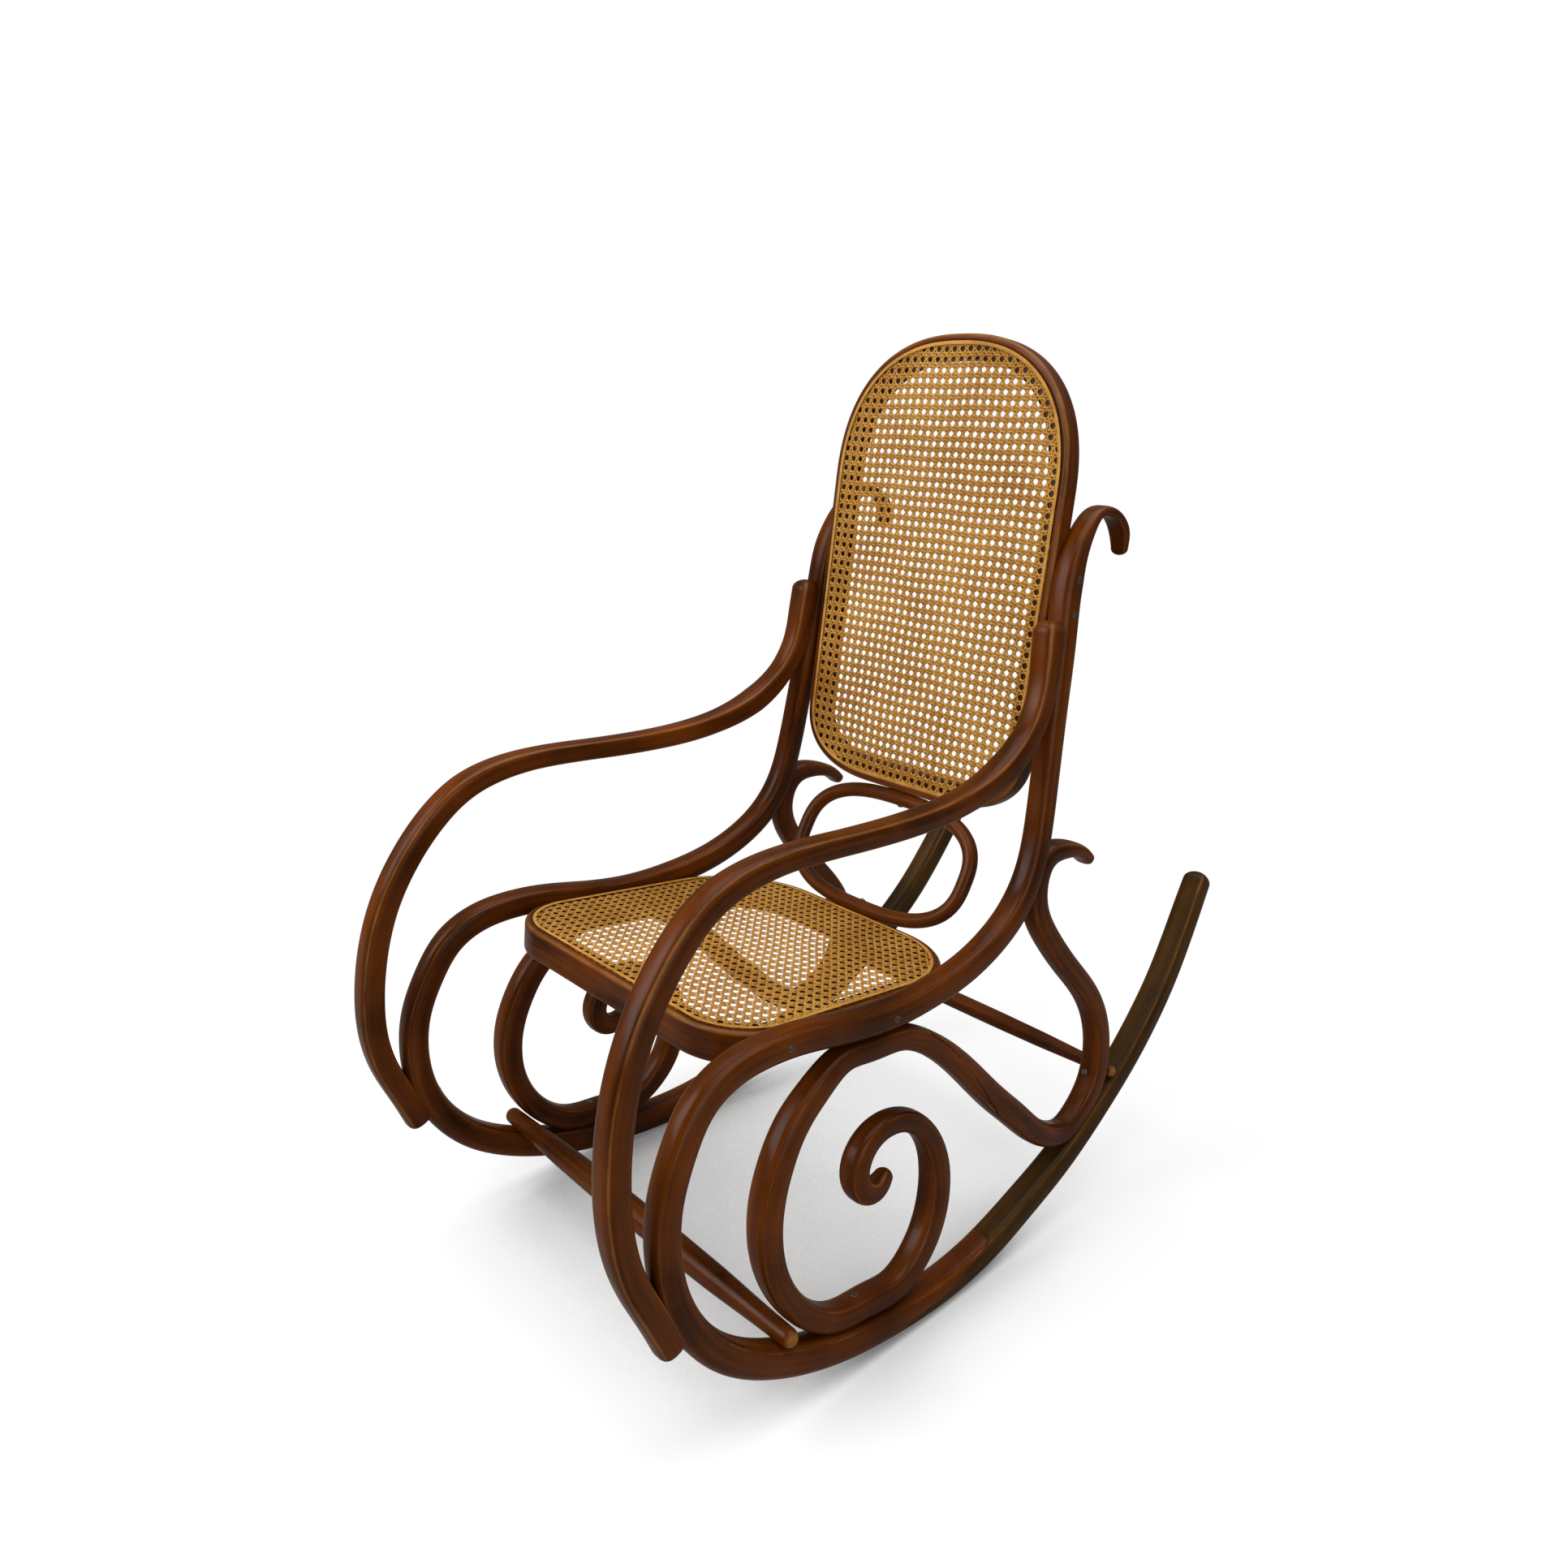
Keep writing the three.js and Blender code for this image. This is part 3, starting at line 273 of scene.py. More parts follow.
# Screws through two rods (name, line, place, hand of the held rod), and screws across into the rims
INWARD_SCREWS = (
    ("arm_top_screw", "side", (0.391, 0.77), -1),
    ("arm_foot_screw", "side", (-0.235, 0.197), -1),
    ("scroll_runner_screw", "brace", (0.002, 0.065), 1),
    ("scroll_rail_screw", "brace", (0.025, 0.38), 1),
    ("brace_runner_screw", "brace", (0.395, 0.12), -1),
    ("brace_upright_screw", "brace", (0.355, 0.484), 1),
    ("front_stretcher_screw", "side", FRONT_STRETCHER_SHARE, 1),
)
ACROSS_SCREWS = (
    ("back_lower_screw", BACK_SCREW_SHARES[0]),
    ("back_upper_screw", BACK_SCREW_SHARES[1]),
    ("seat_front_screw", SEAT_SCREW_SHARES[0]),
    ("seat_rear_screw", SEAT_SCREW_SHARES[1]),
)

# Screw heads: how deep they sit, shares of the radius and the rise, and what turns their slots
SCREW_SINK = 0.0002
SCREW_RING_SHARES = (0.02, 0.2, 0.4, 0.6, 0.8, 0.93, 1.0, 1.0)
SCREW_FALL_SHARE = 0.75
SLOT_HALF_WIDTH_SHARE = 0.09
SLOT_FLOOR_SHARE = 0.15
SLOT_GUIDE = (0.36, 0.48, 0.8)

# Turned bars: (way from end to middle, swell), and where the profile starts and its dome ends
STRETCHER_SHARES = ((0.0, 0.0), (0.2, 0.24), (0.45, 0.72), (0.75, 0.96), (1.0, 1.0))
STRETCHER_START_ANGLE = 0.05
STRETCHER_DOME_SHARE = 1.1
STRETCHER_WINDOW = 11
POCKET_ROUNDS = 60

# Rims: depth of the rebate under the cane, and the small bevels of its step
REBATE_DEPTH = 0.002
REBATE_BEVEL = 0.0002
FACE_BEVEL = 0.0006

# Cane: how far apart a pair lies, how high strands rise, where they lie, and their steps
CANE_PAIR_SHARE = 1.08
CANE_RISE_SHARE = 1.1
DIAGONAL_RISE_SHARE = 0.3
CANE_LEVEL = -0.0012
CANE_STEPS = 6.0
CANE_SLACK_SHARE = 0.035
TONE_STEP = 0.6180339

# Woods: their stain, their deep stain, and their roughness and specular level
WOODS = {
    "Stained rod": ("stain", "stain_deep", (0.25, 0.13)),
    "Stained runner": ("runner_stain", "runner_deep", (0.40, 0.1)),
    "Stained rim": ("stain", "stain_deep", (0.27, 0.13)),
}

# Textures: how far they are drawn out, the ranges of noise that count, and what they become
STREAK_SCALE = (5.0, 110.0, 1.0)
FIBRE_SCALE = (40.0, 900.0, 1.0)
SCUFF_SCALE = (30.0, 260.0, 1.0)
CANE_SCALE = (60.0, 37.0, 1.0)
FIBRE_DEPTH = 0.3
# How far grime and painted shade darken the wood towards its deep stain
GRIME_AND_SHADE_STRENGTH = 0.75
RUBBED_DULLNESS = 0.12
TARNISH_SHARE = 0.3
NOISE_RANGE = (0.3, 0.7)
STREAK_RANGE = (0.7, 1.32)
WORN_RANGE = (0.46, 1.05)
CANE_RANGE = (0.72, 1.25)
ROUGHNESS_BELOW = 0.07
ROUGHNESS_ABOVE = 0.1
CANE_ROUGHNESS = (0.5, 0.66)
CANE_SPECULAR = 0.15
STEEL_ROUGHNESS = (0.32, 0.6)

# Stage: the floor, where its real and painted shadow fades to white, and the lamps (place, size, power)
FLOOR_HALF_WIDTH = 60.0
SHADOW_FADE = (0.7, 1.25)
# Painted shadow on the floor: ambient occlusion's reach and samples, and the ranges it is mapped from and
# to as a camera-only glow
SHADE_REACH = 0.6
SHADE_SAMPLES = 16
SHADE_RANGE = (0.3, 0.8)
SHADE_LEVELS = (0.1, 0.6)
WORLD_LEVEL = 0.2
LAMP_TARGET = (0.0, 0.0, 0.45)
LAMPS = (
    ("Key", (-1.2, -2.8, 2.4), 2.4, 84.0),
    ("Top", (0.25, 0.35, 3.3), 3.0, 70.0),
    ("Fill", (3.0, -0.9, 1.5), 2.0, 24.0),
)


def length_prop(name, description, default):
    """A length property in metres."""
    return bpy.props.FloatProperty(
        name=name, description=description, default=default, min=0.0, unit="LENGTH", precision=4
    )


def angle_prop(name, description, degrees):
    """An angle property, given in degrees and held in radians."""
    return bpy.props.FloatProperty(
        name=name, description=description, default=math.radians(degrees), unit="ROTATION"
    )


def colour_prop(name, description, default):
    """A linear colour property."""
    return bpy.props.FloatVectorProperty(
        name=name, description=description, default=default, size=3, min=0.0, max=1.0, subtype="COLOR"
    )


class RockerSizes(bpy.types.PropertyGroup):
    """The sizes that drive every piece."""

    side_reach: length_prop("Side reach", "Length that the side view's places are shares of", 1.0)
    side_rod: length_prop("Side rod", "Diameter of the side frame's rod", 0.034)
    brace_rod: length_prop("Brace rod", "Diameter of the scroll and of the rear brace", 0.034)
    arm_rod: length_prop("Arm rod", "Diameter of the arm's rod", 0.032)
    floor_half_span: length_prop("Span at the floor", "Half the distance between the runners", 0.2697)
    toe_in: length_prop("Toe in", "How much closer the sides are one reach further to the rear", 0.023)
    arm_lap: length_prop("Arm lap", "How far the arm is let into the side", 0.008)
    brace_lap: length_prop("Brace lap", "How far the brace is let into the bend", 0.008)
    rim_lap: length_prop("Rim lap", "How far the upright is let into the back's rim", 0.0055)
    hook_radius: length_prop("Hook radius", "Radius of the hook over the upright", 0.043)
    hook_setback: length_prop("Hook setback", "How far the hook starts behind the upright's line", 0.017)
    back_half_width: length_prop("Back half width", "Half the width of the back's rim", 0.19)
    back_height: length_prop("Back height", "Height of the back's rim along its lean", 0.584)
    back_lean: angle_prop("Back lean", "Lean of the back from upright", 8.6)
    upright_extra_lean: angle_prop("Upright's extra lean", "How much more the uprights lean", 2.0)
    upright_foot_setback: length_prop("Upright setback", "Setback from the back's foot", 0.0045)
    back_corner_x: length_prop("Top corner width", "Half width of the back's top corners", 0.189)
    back_corner_y: length_prop("Top corner height", "Height of the back's top corners", 0.186)
    foot_corner_x: length_prop("Foot corner width", "Half width of the back's foot corners", 0.13)
    foot_corner_y: length_prop("Foot corner height", "Height of the back's foot corners", 0.09)
    seat_depth: length_prop("Seat depth", "Depth of the seat's rim", 0.405)
    seat_slope: angle_prop("Seat slope", "Slope of the seat down to the rear", 6.5)
    seat_front_corner: length_prop("Seat front corner", "Radius of the front corners", 0.084)
    seat_rear_corner: length_prop("Seat rear corner", "Radius of the rear corners", 0.13)
    rim_width: length_prop("Rim width", "Width of both rims", 0.03)
    rim_face: length_prop("Rim face", "Bare face of the rim outside the cane", 0.009)
    rim_edge: length_prop("Rim edge", "Rounding of the rims' outer edges", 0.005)
    seat_rim_height: length_prop("Seat rim height", "Height of the seat's rim", 0.038)
    back_rim_depth: length_prop("Back rim depth", "Depth of the back's rim", 0.026)
    cane_pitch: length_prop("Cane pitch", "Distance between the cane's holes", 0.0127)
    cane_strand: length_prop("Cane strand", "Width of one strand of cane", 0.0029)
    cane_gauge: length_prop("Cane gauge", "Thickness of one strand of cane", 0.0006)
    binder_width: length_prop("Binder width", "Width of the strip over the cane's edge", 0.0045)
    binder_gauge: length_prop("Binder gauge", "Thickness of the strip", 0.0012)
    ring_rod: length_prop("Ring rod", "Diameter of the ring's rod", 0.0195)
    ring_half_width: length_prop("Ring half width", "Half the width of the ring", 0.145)
    ring_head_setback: length_prop("Ring head setback", "Distance behind the back's front face", 0.008)
    front_stretcher: length_prop("Front stretcher", "Diameter at its middle", 0.034)
    front_stretcher_end: length_prop("Front stretcher end", "Diameter at its ends", 0.021)
    rear_stretcher: length_prop("Rear stretcher", "Diameter at its middle", 0.025)
    rear_stretcher_end: length_prop("Rear stretcher end", "Diameter at its ends", 0.016)
    stretcher_proud: length_prop("Stretcher proud", "How far the front one passes the rods", 0.006)
    screw_head: length_prop("Screw head", "Diameter of a screw's head", 0.009)
    screw_rise: length_prop("Screw rise", "Height of a head over the wood", 0.0012)


class RockerColours(bpy.types.PropertyGroup):
    """The colours of the finishes, as linear values."""

    stain: colour_prop("Stain", "Red-brown stain of the rods", (0.165, 0.038, 0.0022))
    stain_deep: colour_prop("Deep stain", "Dark streaks and grime", (0.030, 0.0068, 0.0006))
    stain_worn: colour_prop("Worn stain", "Rubbed edges", (0.46, 0.19, 0.045))
    runner_stain: colour_prop("Runner stain", "Browner, duller runners", (0.088, 0.037, 0.005))
    runner_deep: colour_prop("Deep runner stain", "Dark streaks of the runners", (0.020, 0.0095, 0.0018))
    cane: colour_prop("Cane", "Golden face of the cane", (0.66, 0.34, 0.07))
    cane_deep: colour_prop("Deep cane", "Darker strands and their edges", (0.41, 0.175, 0.025))
    steel: colour_prop("Screw steel", "Dull steel", (0.22, 0.19, 0.16))
    floor: colour_prop("Floor", "Floor as the camera sees it", (0.5, 0.5, 0.5))
    floor_bounce: colour_prop("Floor bounce", "Floor as it lights the chair", (0.42, 0.40, 0.37))


def unit(vectors):
    """Vectors at length one."""
    return vectors / np.linalg.norm(vectors, axis=-1, keepdims=True)


def turn_angles(count):
    """Even angles once round, from nought."""
    return np.arange(count) / count * 2.0 * math.pi


def closed_up(points):
    """A loop's points, with the first one again at the end."""
    return np.concatenate([points, points[:1]])


def way_along(points):
    """Distance along a row of points from its first one to each."""
    steps = np.linalg.norm(np.diff(points, axis=0), axis=1)
    return np.concatenate([[0.0], np.cumsum(steps)])


def way_round(count, radius):
    """Distance round a circle to each of a count of points, and back to the first one."""
    return np.arange(count + 1) / count * 2.0 * math.pi * radius


def shifted_back(sizes):
    """The shift from side view places to the frame's own."""
    return np.array([0.0, chair_offset(sizes), 0.0])


def natural_spline(knots, values, places):
    """Cubic through the values: its second derivatives solve the tridiagonal system of a spline
    whose ends are straight, and each span is the usual blend of values and second derivatives."""
    steps = np.diff(knots)
    count = len(knots)
    system = np.eye(count)
    inner = np.arange(1, count - 1)
    system[inner, inner - 1] = steps[:-1]
    system[inner, inner] = 2.0 * (steps[:-1] + steps[1:])
    system[inner, inner + 1] = steps[1:]
    slopes = np.diff(values) / steps
    right = np.zeros(count)
    right[1:-1] = 6.0 * np.diff(slopes)
    bends = np.linalg.solve(system, right)
    span = np.clip(np.searchsorted(knots, places) - 1, 0, count - 2)
    width = steps[span]
    share = (places - knots[span]) / width
    rest = 1.0 - share
    bend = (rest**3 - rest) * bends[span] + (share**3 - share) * bends[span + 1]
    return rest * values[span] + share * values[span + 1] + bend * width**2 / 6.0


class BentLine:
    """The centre line of a bent rod: a spline through side view points (y, z, diameter), laid on
    the flat side of the chair, with its frame at each of many samples."""

    def __init__(self, points, half_span, soften=0):
        points = np.array(points)
        knots = way_along(points[:, :2])
        places = np.linspace(0.0, knots[-1], CURVE_SAMPLES)
        y = natural_spline(knots, points[:, 0], places)
        z = natural_spline(knots, points[:, 1], places)
        if soften:
            y, z = (self.softened(values, soften) for values in (y, z))
        self.centre = np.stack([half_span(y, z), y, z], axis=-1)
        self.length = way_along(self.centre)
        diameter = np.interp(places, knots, points[:, 2])
        window = np.hanning(THICKNESS_WINDOW)
        padded = np.pad(diameter, len(window) // 2, mode="edge")
        smooth = np.convolve(padded, window / window.sum(), mode="same")
        self.radius = smooth[len(window) // 2 : len(window) // 2 + CURVE_SAMPLES] / 2.0

    @staticmethod
    def softened(values, samples):
        """A running mean with a raised cosine window. The ends are held by odd reflection."""
        window = np.hanning(2 * samples + 1)
        padded = np.pad(values, samples, mode="reflect", reflect_type="odd")
        return np.convolve(padded, window / window.sum(), mode="valid")

    def at(self, lengths):
        """Centre, radius, tangent, side axis and in-plane axis at lengths along the line. The
        side axis is X made square to the tangent, and the in-plane axis is side cross tangent."""
        centre = np.stack([np.interp(lengths, self.length, self.centre[:, k]) for k in range(3)], -1)
        slopes = np.gradient(self.centre, self.length, axis=0)
        tangent = np.stack([np.interp(lengths, self.length, slopes[:, k]) for k in range(3)], -1)
        tangent = unit(tangent)
        side = unit(np.array([1.0, 0.0, 0.0]) - tangent[..., :1] * tangent)
        inward = np.cross(side, tangent)
        radius = np.interp(lengths, self.length, self.radius)
        return centre, radius, tangent, side, inward

    def nearest(self, y, z):
        """The length at which the line passes nearest to a side view place."""
        distance = np.hypot(self.centre[:, 1] - y, self.centre[:, 2] - z)
        return self.length[np.argmin(distance)]


def scaled(place, reach):
    """A place given as shares of the reach, in metres."""
    return tuple(share * reach for share in place)


def rod_points(shares, reach, diameter):
    """Side view shares as points (y, z, diameter)."""
    return [(y * reach, z * reach, thickness * diameter) for y, z, thickness in shares]


def beside_line(line, place, diameter, hand, lap=0.0):
    """The point where a rod of a diameter lies against a line, on one side of it, or is let into
    it by a lap."""
    centre, radius, _, _, inward = line.at(line.nearest(*place))
    distance = radius + diameter / 2.0 + CLEARANCE - lap
    return (centre[1] + hand * distance * inward[1], centre[2] + hand * distance * inward[2], diameter)


def beside_points(line, shares, reach, diameter, hand, lap=0.0):
    """The same for several places given as shares."""
    return [beside_line(line, scaled(place, reach), diameter, hand, lap) for place in shares]


class ChairLines:
    """Every centre line of the chair, worked out once from the sizes."""

    def __init__(self, sizes):
        self.sizes = sizes
        reach = sizes.side_reach
        self.back_foot = scaled(BACK_FOOT_SHARE, reach)
        self.side = BentLine(self.side_points(reach), self.half_span)
        self.brace = BentLine(self.brace_points(reach), self.half_span, BRACE_SOFTENING)
        self.arm = BentLine(self.arm_points(reach), self.half_span)

    def half_span(self, y, z):
        """Half the distance between the sides. Each is a plane that leans in with height, so that
        its upright is let into the back's rim under the hook, and toes in towards the rear."""
        sizes = self.sizes
        toed = sizes.toe_in * BACK_TOUCH_SHARE[0]
        touching = sizes.back_half_width + sizes.side_rod / 2.0 * ROD_FACET + CLEARANCE - sizes.rim_lap
        lean = (sizes.floor_half_span - toed - touching) / (BACK_TOUCH_SHARE[1] * sizes.side_reach)
        return sizes.floor_half_span - sizes.toe_in * y / sizes.side_reach - lean * z

    def upright_point(self, height_share, thickness):
        """A point of the upright, which leans a little more than the back."""
        sizes = self.sizes
        z = height_share * sizes.side_reach
        lean = sizes.back_lean + sizes.upright_extra_lean
        y = self.back_foot[0] + (z - self.back_foot[1]) * math.tan(lean) + sizes.upright_foot_setback
        return (y, z, thickness * sizes.side_rod)

    def hook_point(self, turn_share, thickness):
        """A point of the hook, an arc from the upright's top over to the rear."""
        sizes = self.sizes
        y, z, _ = self.upright_point(HOOK_START_SHARE, 1.0)
        angle = math.pi * turn_share
        across = sizes.hook_setback + sizes.hook_radius + sizes.hook_radius * math.cos(angle)
        return (y + across, z + sizes.hook_radius * math.sin(angle), thickness * sizes.side_rod)

    def side_points(self, reach):
        """From the hook's tip down the upright, round the front and back to the tail."""
        rod = self.sizes.side_rod
        hook = [self.hook_point(*shares) for shares in zip(HOOK_TURN_SHARES, HOOK_THICKNESS_SHARES)]
        upright = [self.upright_point(*shares) for shares in zip(UPRIGHT_SHARES, UPRIGHT_THICKNESS_SHARES)]
        return hook + upright + rod_points(FRAME_SHARES + RUNNER_SHARES, reach, rod)

    def brace_points(self, reach):
        """From the scroll's inner tip, round under the rail and down to the rear brace's hook."""
        rod = self.sizes.brace_rod
        lap = self.sizes.brace_lap

        def beside(shares, thickness_share, let_in=0.0):
            return beside_points(self.side, shares, reach, thickness_share * rod, 1, let_in)

        return (
            rod_points(SCROLL_SHARES, reach, rod)
            + beside(SCROLL_REST_SHARES, SCROLL_REST_THICKNESS_SHARE)
            + rod_points(SCROLL_FRONT_SHARES, reach, rod)
            + beside(RAIL_CONTACT_SHARES, RAIL_CONTACT_THICKNESS_SHARE)
            + rod_points(BRACE_DIAGONAL_SHARES, reach, rod)
            + beside(BRACE_REST_SHARES, BRACE_REST_THICKNESS_SHARE, lap)
            + rod_points(BRACE_LOOP_SHARES, reach, rod)
            + beside(BEND_CONTACT_SHARES, BEND_CONTACT_THICKNESS_SHARE, lap)
            + rod_points(BRACE_HOOK_SHARES, reach, rod)
        )

    def arm_points(self, reach):
        """From the arm's top on the upright to its foot on the front loop."""
        rod = self.sizes.arm_rod
        lap = self.sizes.arm_lap
        return (
            beside_points(self.side, ARM_TOP_SHARES, reach, ARM_TOP_THICKNESS_SHARE * rod, -1, lap)
            + rod_points(ARM_SHARES, reach, rod)
            + beside_points(self.side, ARM_FOOT_SHARES, reach, ARM_FOOT_THICKNESS_SHARE * rod, -1, lap)
        )


def chair_offset(sizes):
    """How far the side view's y = 0 lies behind the frame's origin, from the seat's front edge."""
    rim = (sizes.seat_rim_height - sizes.rim_edge) * math.sin(sizes.seat_slope)
    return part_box("seat_frame")[0][1] + rim - SEAT_FRONT_SHARE[0] * sizes.side_reach


def write_mesh(name, points, faces, uvs, attributes, material):
    """One object from flat arrays: points, four-cornered faces, a UV pair per corner and a number
    per point for each named attribute. Its faces are turned round if they enclose less than nothing."""
    corners = points[faces]
    crossed = np.cross(corners[:, 1] - corners[:, 0], corners[:, 2] - corners[:, 0])
    crossed += np.cross(corners[:, 2] - corners[:, 0], corners[:, 3] - corners[:, 0])
    if np.einsum("ij,ij->", corners[:, 0], crossed) < 0.0:
        faces = faces[:, ::-1]
        uvs = uvs[:, ::-1]
    mesh = bpy.data.meshes.new(name)
    mesh.vertices.add(len(points))
    mesh.vertices.foreach_set("co", points.astype(np.float32).ravel())
    mesh.loops.add(faces.size)
    mesh.loops.foreach_set("vertex_index", faces.astype(np.int32).ravel())
    mesh.polygons.add(len(faces))
    mesh.polygons.foreach_set("loop_start", np.arange(0, faces.size, 4, dtype=np.int32))
    mesh.polygons.foreach_set("use_smooth", np.ones(len(faces), dtype=bool))
    layer = mesh.uv_layers.new(name="run")
    layer.data.foreach_set("uv", uvs.astype(np.float32).ravel())
    for key, values in attributes.items():
        attribute = mesh.attributes.new(key, "FLOAT", "POINT")
        attribute.data.foreach_set("value", values.astype(np.float32).ravel())
    mesh.update(calc_edges=True)
    mesh.validate()
    mesh.materials.append(material)
    piece = bpy.data.objects.new(name, mesh)
    bpy.context.scene.collection.objects.link(piece)
    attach(piece, "root")
    return piece


def grid_faces(rows, columns, close_rows):
    """Faces of a grid that is closed across its columns, and along its rows if asked."""
    i, j = np.meshgrid(np.arange(rows if close_rows else rows - 1), np.arange(columns), indexing="ij")
    below = (i + 1) % rows
    beside = (j + 1) % columns
    here, there = i * columns, below * columns
    faces = np.stack([here + j, there + j, there + beside, here + beside], -1)
    return i.ravel(), j.ravel(), faces.reshape(-1, 4)


def write_tube(name, grid, along, around, attributes, material, close_rows=False):
    """A tube from rings of points, with UV in metres: the way along it, and the way round it.
    along and around have one value more than there are rings and points where the grid closes."""
    rows, columns = grid.shape[:2]
    i, j, faces = grid_faces(rows, columns, close_rows)
    u = np.stack([along[i], along[i + 1], along[i + 1], along[i]], -1)
    v = np.stack([around[j], around[j], around[j + 1], around[j + 1]], -1)
    uvs = np.stack([u, v], -1)
    points = grid.reshape(-1, 3)
    flat = {key: np.broadcast_to(values, (rows, columns)).ravel() for key, values in attributes.items()}
    if not close_rows:
        points = np.concatenate([points, grid[:1].mean(axis=1), grid[-1:].mean(axis=1)])
        flat = {key: np.append(values, [values[0], values[-1]]) for key, values in flat.items()}
        first = cap_faces(columns, 0, rows * columns)
        last = cap_faces(columns, (rows - 1) * columns, rows * columns + 1)[:, ::-1]
        faces = np.concatenate([faces, first, last])
        ends = np.zeros((len(first) + len(last), 4, 2))
        ends[len(first) :, :, 0] = along[rows - 1]
        uvs = np.concatenate([uvs, ends])
    return write_mesh(name, points, faces, uvs, flat, material)


def cap_faces(columns, start, centre):
    """Four-cornered faces that close a ring of an even count of points to its middle."""
    first = np.arange(0, columns, 2)
    ring = np.stack([first, first + 1, (first + 2) % columns], -1) + start
    return np.concatenate([ring, np.full((len(ring), 1), centre)], -1)


def ring_section(angles, squareness):
    """Unit section (across, up) of a superellipse: each of cos and sin raised to 2/squareness."""
    power = 2.0 / squareness
    across = np.sign(np.cos(angles)) * np.abs(np.cos(angles)) ** power
    up = np.sign(np.sin(angles)) * np.abs(np.sin(angles)) ** power
    return across, up


def rod_lengths(line, start, end, dome_start, dome_end):
    """Lengths along a rod at even steps, crowded towards an end that is domed."""
    crowd = 1.0 - np.cos(np.linspace(0.0, math.pi / 2.0, DOME_RINGS))
    lengths = np.linspace(start, end, int((end - start) / ROD_STEP))
    if dome_start:
        tip = np.interp(start, line.length, line.radius) * dome_start
        lengths = np.concatenate([start + tip * crowd, lengths[lengths > start + tip]])
    if dome_end:
        tip = np.interp(end, line.length, line.radius) * dome_end
        lengths = np.concatenate([lengths[lengths < end - tip], end - tip * crowd[::-1]])
    return lengths


def dome_scale(line, lengths, start, end, dome_start, dome_end):
    """Share of the radius near a domed end: the quarter ellipse sqrt(1 - (1 - d)^2)."""
    scale = np.ones(len(lengths))
    for edge, dome in ((start, dome_start), (end, dome_end)):
        if dome:
            tip = np.interp(edge, line.length, line.radius) * dome
            distance = np.clip(np.abs(lengths - edge) / tip, 0.0, 1.0)
            scale *= np.sqrt(1.0 - (1.0 - distance) ** 2) * (1.0 - DOME_TIP_SHARE) + DOME_TIP_SHARE
    return scale


def scarf_section(across, up, height, hand):
    """A section cut flat at a height: what lies past it is laid on the cut, from chord end to
    chord end, in the same order."""
    removed = (up - height) * hand < 0.0
    widest = np.max(np.where(removed, np.abs(across), TINY), axis=1, keepdims=True)
    edge = np.sqrt(np.clip(1.0 - height**2, 0.0, 1.0))
    return np.where(removed, across * edge / widest, across), np.where(removed, height, up)


def rod_grid(line, options):
    """A rod's surface: at each length, a superellipse on the side and in-plane axes, which turns
    into a circle at a domed end. A scarf's lap keeps what lies on one hand of a face that runs
    slowly from one skin to the other, and a strap is wider and thinner by a bell curve."""
    start, end = options["start"], options["end"]
    dome_start, dome_end = options.get("dome_start", 0.0), options.get("dome_end", 0.0)
    lengths = rod_lengths(line, start, end, dome_start, dome_end)
    centre, radius, _, side, inward = line.at(lengths)
    scale = dome_scale(line, lengths, start, end, dome_start, dome_end)
    radius = radius * scale * ROD_FIT
    angles = turn_angles(ROD_SIDES)
    across, up = ring_section(angles, options.get("squareness", ROD_SQUARENESS))
    across = np.cos(angles) + (across - np.cos(angles)) * scale[:, None]
    up = np.sin(angles) + (up - np.sin(angles)) * scale[:, None]
    if "scarf" in options:
        scarf_start, scarf_end, hand, piece = options["scarf"]
        share = np.clip((lengths - scarf_start) / (scarf_end - scarf_start), 0.0, 1.0)
        reach = 1.0 - SCARF_TIP / radius
        height = hand * reach * (2.0 * share - 1.0)
        height = height + piece * hand * CLEARANCE / 2.0 / radius
        lapped = (lengths >= scarf_start) & (lengths <= scarf_end)
        height = np.where(lapped, height, -2.0 * piece * hand)[:, None]
        cut_across, cut_up = scarf_section(across, up, height, piece * hand)
        across = np.where(lapped[:, None], cut_across, across)
        up = np.where(lapped[:, None], cut_up, up)
    wide = radius[:, None] * across * options.get("width_share", 1.0)
    tall = radius[:, None] * up
    if "strap" in options:
        strap_end, (strap_reach, wide_share, thin_share) = options["strap"]
        strap = np.exp(-(((lengths - strap_end) / strap_reach) ** 4))[:, None]
        wide = wide * (1.0 + (wide_share - 1.0) * strap)
        tall = tall * (1.0 + (thin_share - 1.0) * strap)
    grid = centre[:, None] + side[:, None] * wide[..., None] + inward[:, None] * tall[..., None]
    arris = np.exp(-(((np.abs(across) - np.abs(up)) / ARRIS_WIDTH) ** 2))
    return grid, lengths, radius, arris


